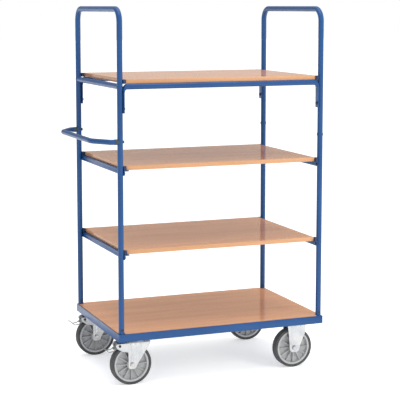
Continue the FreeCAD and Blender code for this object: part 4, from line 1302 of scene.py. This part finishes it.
def join(name, pieces):
    """One piece out of several."""
    shape = bmesh.new()
    for piece in pieces:
        shape.from_mesh(piece.data)
        bpy.data.objects.remove(piece)
    return link_mesh(mesh_from_bmesh(name, shape))


CASTORS = [f"{end}_{side}" for end in ENDS for side in SIDES]
for seed, castor in enumerate(CASTORS):
    low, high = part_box(f"{castor}_axle")
    place = (low + high) / 2
    head_y, nut_y = low.y + head_height, high.y - TIP_PAST_NUT - nut_height
    head_seat = ((place.x, head_y, place.z), (0, -1, 0), high.y - head_y)
    nut_seat = ((place.x, nut_y, place.z), (0, 1, 0), 0.0)
    bolt = fasteners("bolt", [head_seat], M12_BOLT, with_shank=True, seed=seed, metal=zinc_fastener)
    nut = fasteners("nut", [nut_seat], M12_NUT, with_shank=False, seed=FIRST_NUT_SEED + seed,
                    metal=zinc_fastener)
    pair = join(f"{castor}_axle_bolt", [bolt, nut])
    crease(pair.data, HEX_CREASE)
    finish(pair, f"{castor}_axle", zinc_fastener)
print("axle bolts:", len(CASTORS))

# %% [markdown]
# ## Small fittings
# The screws at the post feet, the plugs in the right posts and the collars of the handle are
# simple turned or moulded pieces, so a broken edge on the CAD shape is all they need. The shelf
# stops already have their rounding in CAD, and only their plastic is new.

# %% Screws, plugs, collars and stops
SMALL_FITTINGS = (("post_screws", 0.3, black_zinc), ("post_plugs", 0.2, stop_plastic),
                  ("handle_collars", 0.8, collar_plastic))
for node, edge, material in SMALL_FITTINGS:
    finish(break_edges(node, edge * MM), node, material)
    print(node, "with an edge of", edge, "mm")
for material_slot in frame["nodes"]["shelf_stops"].material_slots:
    material_slot.material = stop_plastic

# %% [markdown]
# ## Castor wheels
# A wheel is turned about its axle, so each of its rings is one outline spun once round. The nylon
# rim has a hub, a thin web and a band for the tyre, and twelve ribs on each side of the web. The
# ribs repeat, so a tree makes one and copies it round the axle. The grey tyre is moulded on, with
# round shoulders, a faint parting line where the mould closed, and a step where it meets the rim.

# %% Turned rings
MOST_OF_HALF = 0.49     # share of a side that a rounded corner may take


def soften_outline(points, radii, steps=4):
    """Closed outline of (radius, y) points with each corner rounded by its own radius."""
    rounded = []
    count = len(points)
    for i, (corner, radius) in enumerate(zip(points, radii)):
        corner = Vector(corner)
        back = Vector(points[i - 1]) - corner
        ahead = Vector(points[(i + 1) % count]) - corner
        if radius == 0:
            rounded.append(corner)
            continue
        half_angle = back.angle(ahead) / 2
        reach = min(radius / math.tan(half_angle), back.length * MOST_OF_HALF,
                    ahead.length * MOST_OF_HALF)
        start, stop = corner + back.normalized() * reach, corner + ahead.normalized() * reach
        for step in range(steps + 1):
            t = step / steps
            rounded.append(start * (1 - t) ** 2 + corner * 2 * t * (1 - t) + stop * t * t)
    return rounded


RING_STEPS = 96
RING_CREASE = 35


def turned_ring(name, outline, centre, sharp=RING_CREASE):
    """Closed outline of (radius, y) points in millimetres, spun round an axle along Y."""
    shape = bmesh.new()
    rings = []
    for step in range(RING_STEPS):
        angle = 2 * math.pi * step / RING_STEPS
        along_x, along_z = MM * math.cos(angle), MM * math.sin(angle)
        rings.append([shape.verts.new((centre.x + radius * along_x, centre.y + y * MM,
                                       centre.z + radius * along_z)) for radius, y in outline])
    for step, ring in enumerate(rings):
        after = rings[(step + 1) % RING_STEPS]
        for i in range(len(outline)):
            ahead = (i + 1) % len(outline)
            shape.faces.new((ring[i], ring[ahead], after[ahead], after[i]))
    bmesh.ops.recalc_face_normals(shape, faces=shape.faces)
    mesh = mesh_from_bmesh(name, shape)
    crease(mesh, sharp)
    return link_mesh(mesh)


softened_square = soften_outline([(10, 0), (20, 0), (20, 10), (10, 10)], [1, 1, 1, 1])
print("a square with its corners softened has", len(softened_square), "points")

# %% Rib tree
def make_round_the_axle_tree():
    inputs = (("One rib", "Geometry"), ("Ribs", "Int"), ("Axle", "Vector"), ("Finish", "Material"))
    tree = new_tree("round_the_axle", inputs, "All ribs")
    nodes, links = tree.nodes, tree.links
    given = nodes.new("NodeGroupInput")
    given.label = "Places and sizes"
    places = nodes.new("GeometryNodePoints")
    places.label = "One point for each rib"
    number = nodes.new("GeometryNodeInputIndex")
    number.label = "Number of the rib"
    share = nodes.new("ShaderNodeMath")
    share.label = "Share of a turn"
    share.operation = "DIVIDE"
    angle = nodes.new("ShaderNodeMath")
    angle.label = "Angle round the axle"
    angle.operation = "MULTIPLY"
    angle.inputs[1].default_value = 2 * math.pi
    turn = nodes.new("FunctionNodeAxisAngleToRotation")
    turn.label = "Turn about the axis"
    turn.inputs["Axis"].default_value = (0, 1, 0)
    copies = nodes.new("GeometryNodeInstanceOnPoints")
    copies.label = "A rib at each angle"
    solid = nodes.new("GeometryNodeRealizeInstances")
    solid.label = "Real geometry"
    finish_node = nodes.new("GeometryNodeSetMaterial")
    finish_node.label = "Finish"
    out = nodes.new("NodeGroupOutput")
    out.label = "Finished shape"
    lay_out((given, places, number, share, angle, turn, copies, solid, finish_node, out))
    links.new(given.outputs["Ribs"], places.inputs["Count"])
    links.new(given.outputs["Axle"], places.inputs["Position"])
    links.new(number.outputs["Index"], share.inputs[0])
    links.new(given.outputs["Ribs"], share.inputs[1])
    links.new(share.outputs["Value"], angle.inputs[0])
    links.new(angle.outputs["Value"], turn.inputs["Angle"])
    links.new(places.outputs["Points"], copies.inputs["Points"])
    links.new(given.outputs["One rib"], copies.inputs["Instance"])
    links.new(turn.outputs["Rotation"], copies.inputs["Rotation"])
    links.new(copies.outputs["Instances"], solid.inputs["Geometry"])
    links.new(solid.outputs["Geometry"], finish_node.inputs["Geometry"])
    links.new(given.outputs["Finish"], finish_node.inputs["Material"])
    links.new(finish_node.outputs["Geometry"], out.inputs["All ribs"])
    return tree


round_the_axle_tree = make_round_the_axle_tree()
print(round_the_axle_tree.name, "has", len(round_the_axle_tree.nodes), "nodes")

# %% Wheels
RIBS = 12
HUB_OUTLINE = [(12, -25.5), (21, -25.5), (24, -20.5), (24, -2.5), (75, -2.5), (77, -18), (86, -18),
               (86, 18), (77, 18), (75, 2.5), (24, 2.5), (24, 20.5), (21, 25.5), (12, 25.5)]
HUB_CORNERS = [0.5, 1.5, 1.5, 4, 4, 1.2, 0.8, 0.8, 1.2, 4, 4, 1.5, 1.5, 0.5]
TYRE_OUTLINE = [(86, -17.5), (87.2, -18.6), (92, -20), (99.6, -20), (99.6, -0.5), (100, 0), (99.6, 0.5),
                (99.6, 20), (92, 20), (87.2, 18.6), (86, 17.5)]
TYRE_CORNERS = [0.3, 0.8, 2, 7, 0.3, 0.3, 0.3, 7, 2, 0.8, 0.3]
SLEEVE_OUTLINE = [(6.3, -26.5), (11.2, -26.5), (12, -25.7), (12, 25.7), (11.2, 26.5), (6.3, 26.5)]
RIB_INNER, RIB_OUTER = 22 * MM, 78 * MM
RIB_HIGH, RIB_LOW, RIB_HALF = 18.5 * MM, 14 * MM, 1.6 * MM
RIB_EDGE = 0.5 * MM
TYRE_CREASE = 60
TYRE_CORNER_STEPS = 6


def one_rib():
    """A rib that stands out along X, high at the hub and low at the band, with round edges."""
    rib = bmesh.new()
    for radius, half_height in ((RIB_INNER, RIB_HIGH), (RIB_OUTER, RIB_LOW)):
        for across, up in ((-1, -1), (1, -1), (1, 1), (-1, 1)):
            rib.verts.new((radius, up * half_height, across * RIB_HALF))
    rib.verts.ensure_lookup_table()
    for corners in ((0, 1, 2, 3), (4, 5, 6, 7), (0, 1, 5, 4), (1, 2, 6, 5), (2, 3, 7, 6), (3, 0, 4, 7)):
        rib.faces.new([rib.verts[i] for i in corners])
    bmesh.ops.recalc_face_normals(rib, faces=rib.faces)
    bmesh.ops.bevel(rib, geom=rib.edges[:], offset=RIB_EDGE, segments=2, profile=0.5, affect="EDGES")
    return link_mesh(mesh_from_bmesh("ribs", rib))


tyre_outline = soften_outline(TYRE_OUTLINE, TYRE_CORNERS, TYRE_CORNER_STEPS)
hub_outline = soften_outline(HUB_OUTLINE, HUB_CORNERS)
for castor in CASTORS:
    axle = middle(f"{castor}_tyre")
    tyre = turned_ring(f"{castor}_tyre_moulded", tyre_outline, axle, TYRE_CREASE)
    finish(tyre, f"{castor}_tyre", tyre_rubber)
    sleeve = turned_ring(f"{castor}_bearing_sleeve", SLEEVE_OUTLINE, axle)
    finish(sleeve, f"{castor}_bearing", bearing_steel)
    ribs = grow(one_rib(), round_the_axle_tree, {"Ribs": RIBS, "Axle": axle, "Finish": rim_nylon})
    rim = join(f"{castor}_rim_moulded", [turned_ring("rim", hub_outline, axle), ribs])
    crease(rim.data, RING_CREASE)
    finish(rim, f"{castor}_rim", rim_nylon)
print("wheels:", len(CASTORS), "with", RIBS, "ribs each")

# %% [markdown]
# ## Castor steel
# The forks, plates and pedals are pressed from sheet and plated. Their edges are broken as on the
# painted sections: a little wider on the forks, because a press rounds more than a saw, and a
# little narrower on the thin pedals and their pins. Kingpins and balls sit deep inside: their CAD
# shape is right, and only the metal is new.

# %% Forks, plates and pedals
PRESSED_EDGE = 0.8 * MM
PEDAL_EDGE = 0.5 * MM
for castor in CASTORS:
    finish(break_edges(f"{castor}_fork", PRESSED_EDGE), f"{castor}_fork", zinc_sheet)
for side in SIDES:
    for part, edge, metal in (("swivel_plate", STEEL_EDGE, zinc_sheet),
                              ("brake_pedal", PEDAL_EDGE, pedal_zinc),
                              ("pedal_pin", PEDAL_EDGE, black_zinc)):
        finish(break_edges(f"left_{side}_{part}", edge), f"left_{side}_{part}", metal)
    for part, metal in (("kingpin", zinc_fastener), ("race_balls", ball_steel)):
        for material_slot in frame["nodes"][f"left_{side}_{part}"].material_slots:
            material_slot.material = metal
print("castors finished:", len(CASTORS))

# %% [markdown]
# ## Floor and light
# The trolley stands on a pale, plain floor in a white room. A studio floor is lit until it is
# nearly as white as the wall, so the floor glows a little, which leaves only a faint shadow under
# the castors. The wall at the rear left is a grey band, because glossy boards that mirrored a pure
# white room would lose their colour. A broad light overhead and one at the front right model the
# tubes and the castors. The second one is hidden from reflections, because its square image in the
# boards would wash them out when they are seen from behind.

# %% Floor
FLOOR_GLOW = 0.42
FLOOR_HALF = 60.0
floor_material, floor_nodes, floor_links = empty_material("pale_floor")
floor_place = floor_nodes.new("ShaderNodeTexCoord")
floor_place.label = "Place on the floor"
floor_place.location = (-700, 0)
floor_cloud = floor_nodes.new("ShaderNodeTexNoise")
floor_cloud.label = "Faint unevenness"
floor_cloud.location = (-480, 0)
floor_cloud.inputs["Scale"].default_value = 2.0
floor_tone = floor_nodes.new("ShaderNodeValToRGB")
floor_tone.label = "Near white"
floor_tone.location = (-250, 0)
floor_tone.color_ramp.elements[0].color = (0.88, 0.88, 0.88, 1)
floor_tone.color_ramp.elements[1].color = (0.92, 0.92, 0.92, 1)
floor_paint = floor_nodes.new("ShaderNodeBsdfPrincipled")
floor_paint.label = "Matt floor"
floor_paint.location = (50, 0)
floor_paint.inputs["Roughness"].default_value = 0.9
floor_paint.inputs["Specular IOR Level"].default_value = 0.1
floor_paint.inputs["Emission Color"].default_value = (1, 1, 1, 1)
floor_paint.inputs["Emission Strength"].default_value = FLOOR_GLOW
floor_out = floor_nodes.new("ShaderNodeOutputMaterial")
floor_out.label = "Floor"
floor_out.location = (350, 0)
floor_links.new(floor_place.outputs["Object"], floor_cloud.inputs["Vector"])
floor_links.new(floor_cloud.outputs["Fac"], floor_tone.inputs["Fac"])
floor_links.new(floor_tone.outputs["Color"], floor_paint.inputs["Base Color"])
floor_links.new(floor_paint.outputs["BSDF"], floor_out.inputs["Surface"])

floor_corners = [(x * FLOOR_HALF, y * FLOOR_HALF, 0) for x, y in ((-1, -1), (1, -1), (1, 1), (-1, 1))]
floor_mesh = bpy.data.meshes.new("floor")
floor_mesh.from_pydata(floor_corners, [], [(0, 1, 2, 3)])
floor_mesh.materials.append(floor_material)
link_mesh(floor_mesh)
print("floor:", 2 * FLOOR_HALF, "m wide")

# %% White room with a grey rear wall
WALL_GREY = 0.42
WALL_FOOT, WALL_TOP = 0.045, 0.40     # as the height part of a ray's direction
REAR_LEFT = (-0.5, 0.85, 0)
world = bpy.data.worlds.new("white_room")
scene.world = world
world.use_nodes = True
world_nodes, world_links = world.node_tree.nodes, world.node_tree.links
background = world_nodes["Background"]
direction = world_nodes.new("ShaderNodeNewGeometry")
direction.label = "Direction of the ray"
direction.location = (-1100, 0)
axes = world_nodes.new("ShaderNodeSeparateXYZ")
axes.label = "Height of the ray"
axes.location = (-900, 0)
rear_wall = world_nodes.new("ShaderNodeValToRGB")
rear_wall.label = "Sweep, grey rear wall, bright ceiling"
rear_wall.location = (-650, 150)
rear_wall.color_ramp.elements[0].position = 0.015
rear_wall.color_ramp.elements[0].color = (1.0, 1.0, 1.0, 1)
rear_wall.color_ramp.elements[1].position = 0.60
rear_wall.color_ramp.elements[1].color = (1.05, 1.05, 1.05, 1)
for height in (WALL_FOOT, WALL_TOP):
    rear_wall.color_ramp.elements.new(height).color = (WALL_GREY, WALL_GREY, WALL_GREY, 1)
away = world_nodes.new("ShaderNodeVectorMath")
away.label = "How far to the rear and left"
away.operation = "DOT_PRODUCT"
away.location = (-900, -200)
away.inputs[1].default_value = REAR_LEFT
to_the_rear = world_nodes.new("ShaderNodeMapRange")
to_the_rear.label = "Front to rear"
to_the_rear.location = (-650, -150)
to_the_rear.inputs["From Min"].default_value = -0.1
to_the_rear.inputs["From Max"].default_value = 0.3
room = world_nodes.new("ShaderNodeMix")
room.label = "White front, grey rear"
room.data_type = "RGBA"
room.location = (-350, 0)
room.inputs[MIX_A].default_value = (1, 1, 1, 1)
world_links.new(direction.outputs["Position"], axes.inputs["Vector"])
world_links.new(axes.outputs["Z"], rear_wall.inputs["Fac"])
world_links.new(direction.outputs["Position"], away.inputs[0])
world_links.new(away.outputs["Value"], to_the_rear.inputs["Value"])
world_links.new(to_the_rear.outputs["Result"], room.inputs["Factor"])
world_links.new(rear_wall.outputs["Color"], room.inputs[MIX_B])
world_links.new(room.outputs[MIX_RESULT], background.inputs["Color"])
print("world nodes:", len(world_nodes))


# %% Lights
def soft_light(name, place, aim, size, power):
    """A rectangular light, with its size in metres and its power in watts, turned to a point."""
    light = bpy.data.lights.new(name, "AREA")
    light.shape = "RECTANGLE"
    light.size, light.size_y = size
    light.energy = power
    lamp = bpy.data.objects.new(name, light)
    scene.collection.objects.link(lamp)
    lamp.location = place
    lamp.rotation_euler = (Vector(aim) - Vector(place)).to_track_quat("-Z", "Y").to_euler()
    return lamp


soft_light("overhead", (0.0, -0.5, 4.2), (0, 0, 0.8), (3.0, 3.0), 60)
front_right = soft_light("front_right", (2.4, -4.2, 2.4), (0, 0, 0.9), (1.6, 2.6), 74)
front_right.visible_glossy = False
scene.view_settings.view_transform = "Standard"
print("lights: overhead and front right")

# %% [markdown]
# ## Camera
# The camera stands as high as the top of the posts, six and a half metres away and to the left of
# the front, with a long lens. It could be aimed at the middle of the trolley, but then the posts
# would lean more. So it looks down by a few degrees only, and the rest comes from a lens shift, as
# on a view camera.

# %% Camera with a long lens
CAMERA_PLACE = (-2.3502, -6.1342, 1.8030)
LOOK_DOWN, LOOK_RIGHT = 6.6955, 21.524     # degrees
camera_data = bpy.data.cameras.new("camera")
camera_data.sensor_width = 36.0
camera_data.lens = 118.43
camera_data.shift_y = -0.10
camera = bpy.data.objects.new("camera", camera_data)
scene.collection.objects.link(camera)
camera.location = CAMERA_PLACE
camera.rotation_euler = (math.radians(90 - LOOK_DOWN), 0, math.radians(-LOOK_RIGHT))
scene.camera = camera
print("camera at", CAMERA_PLACE)
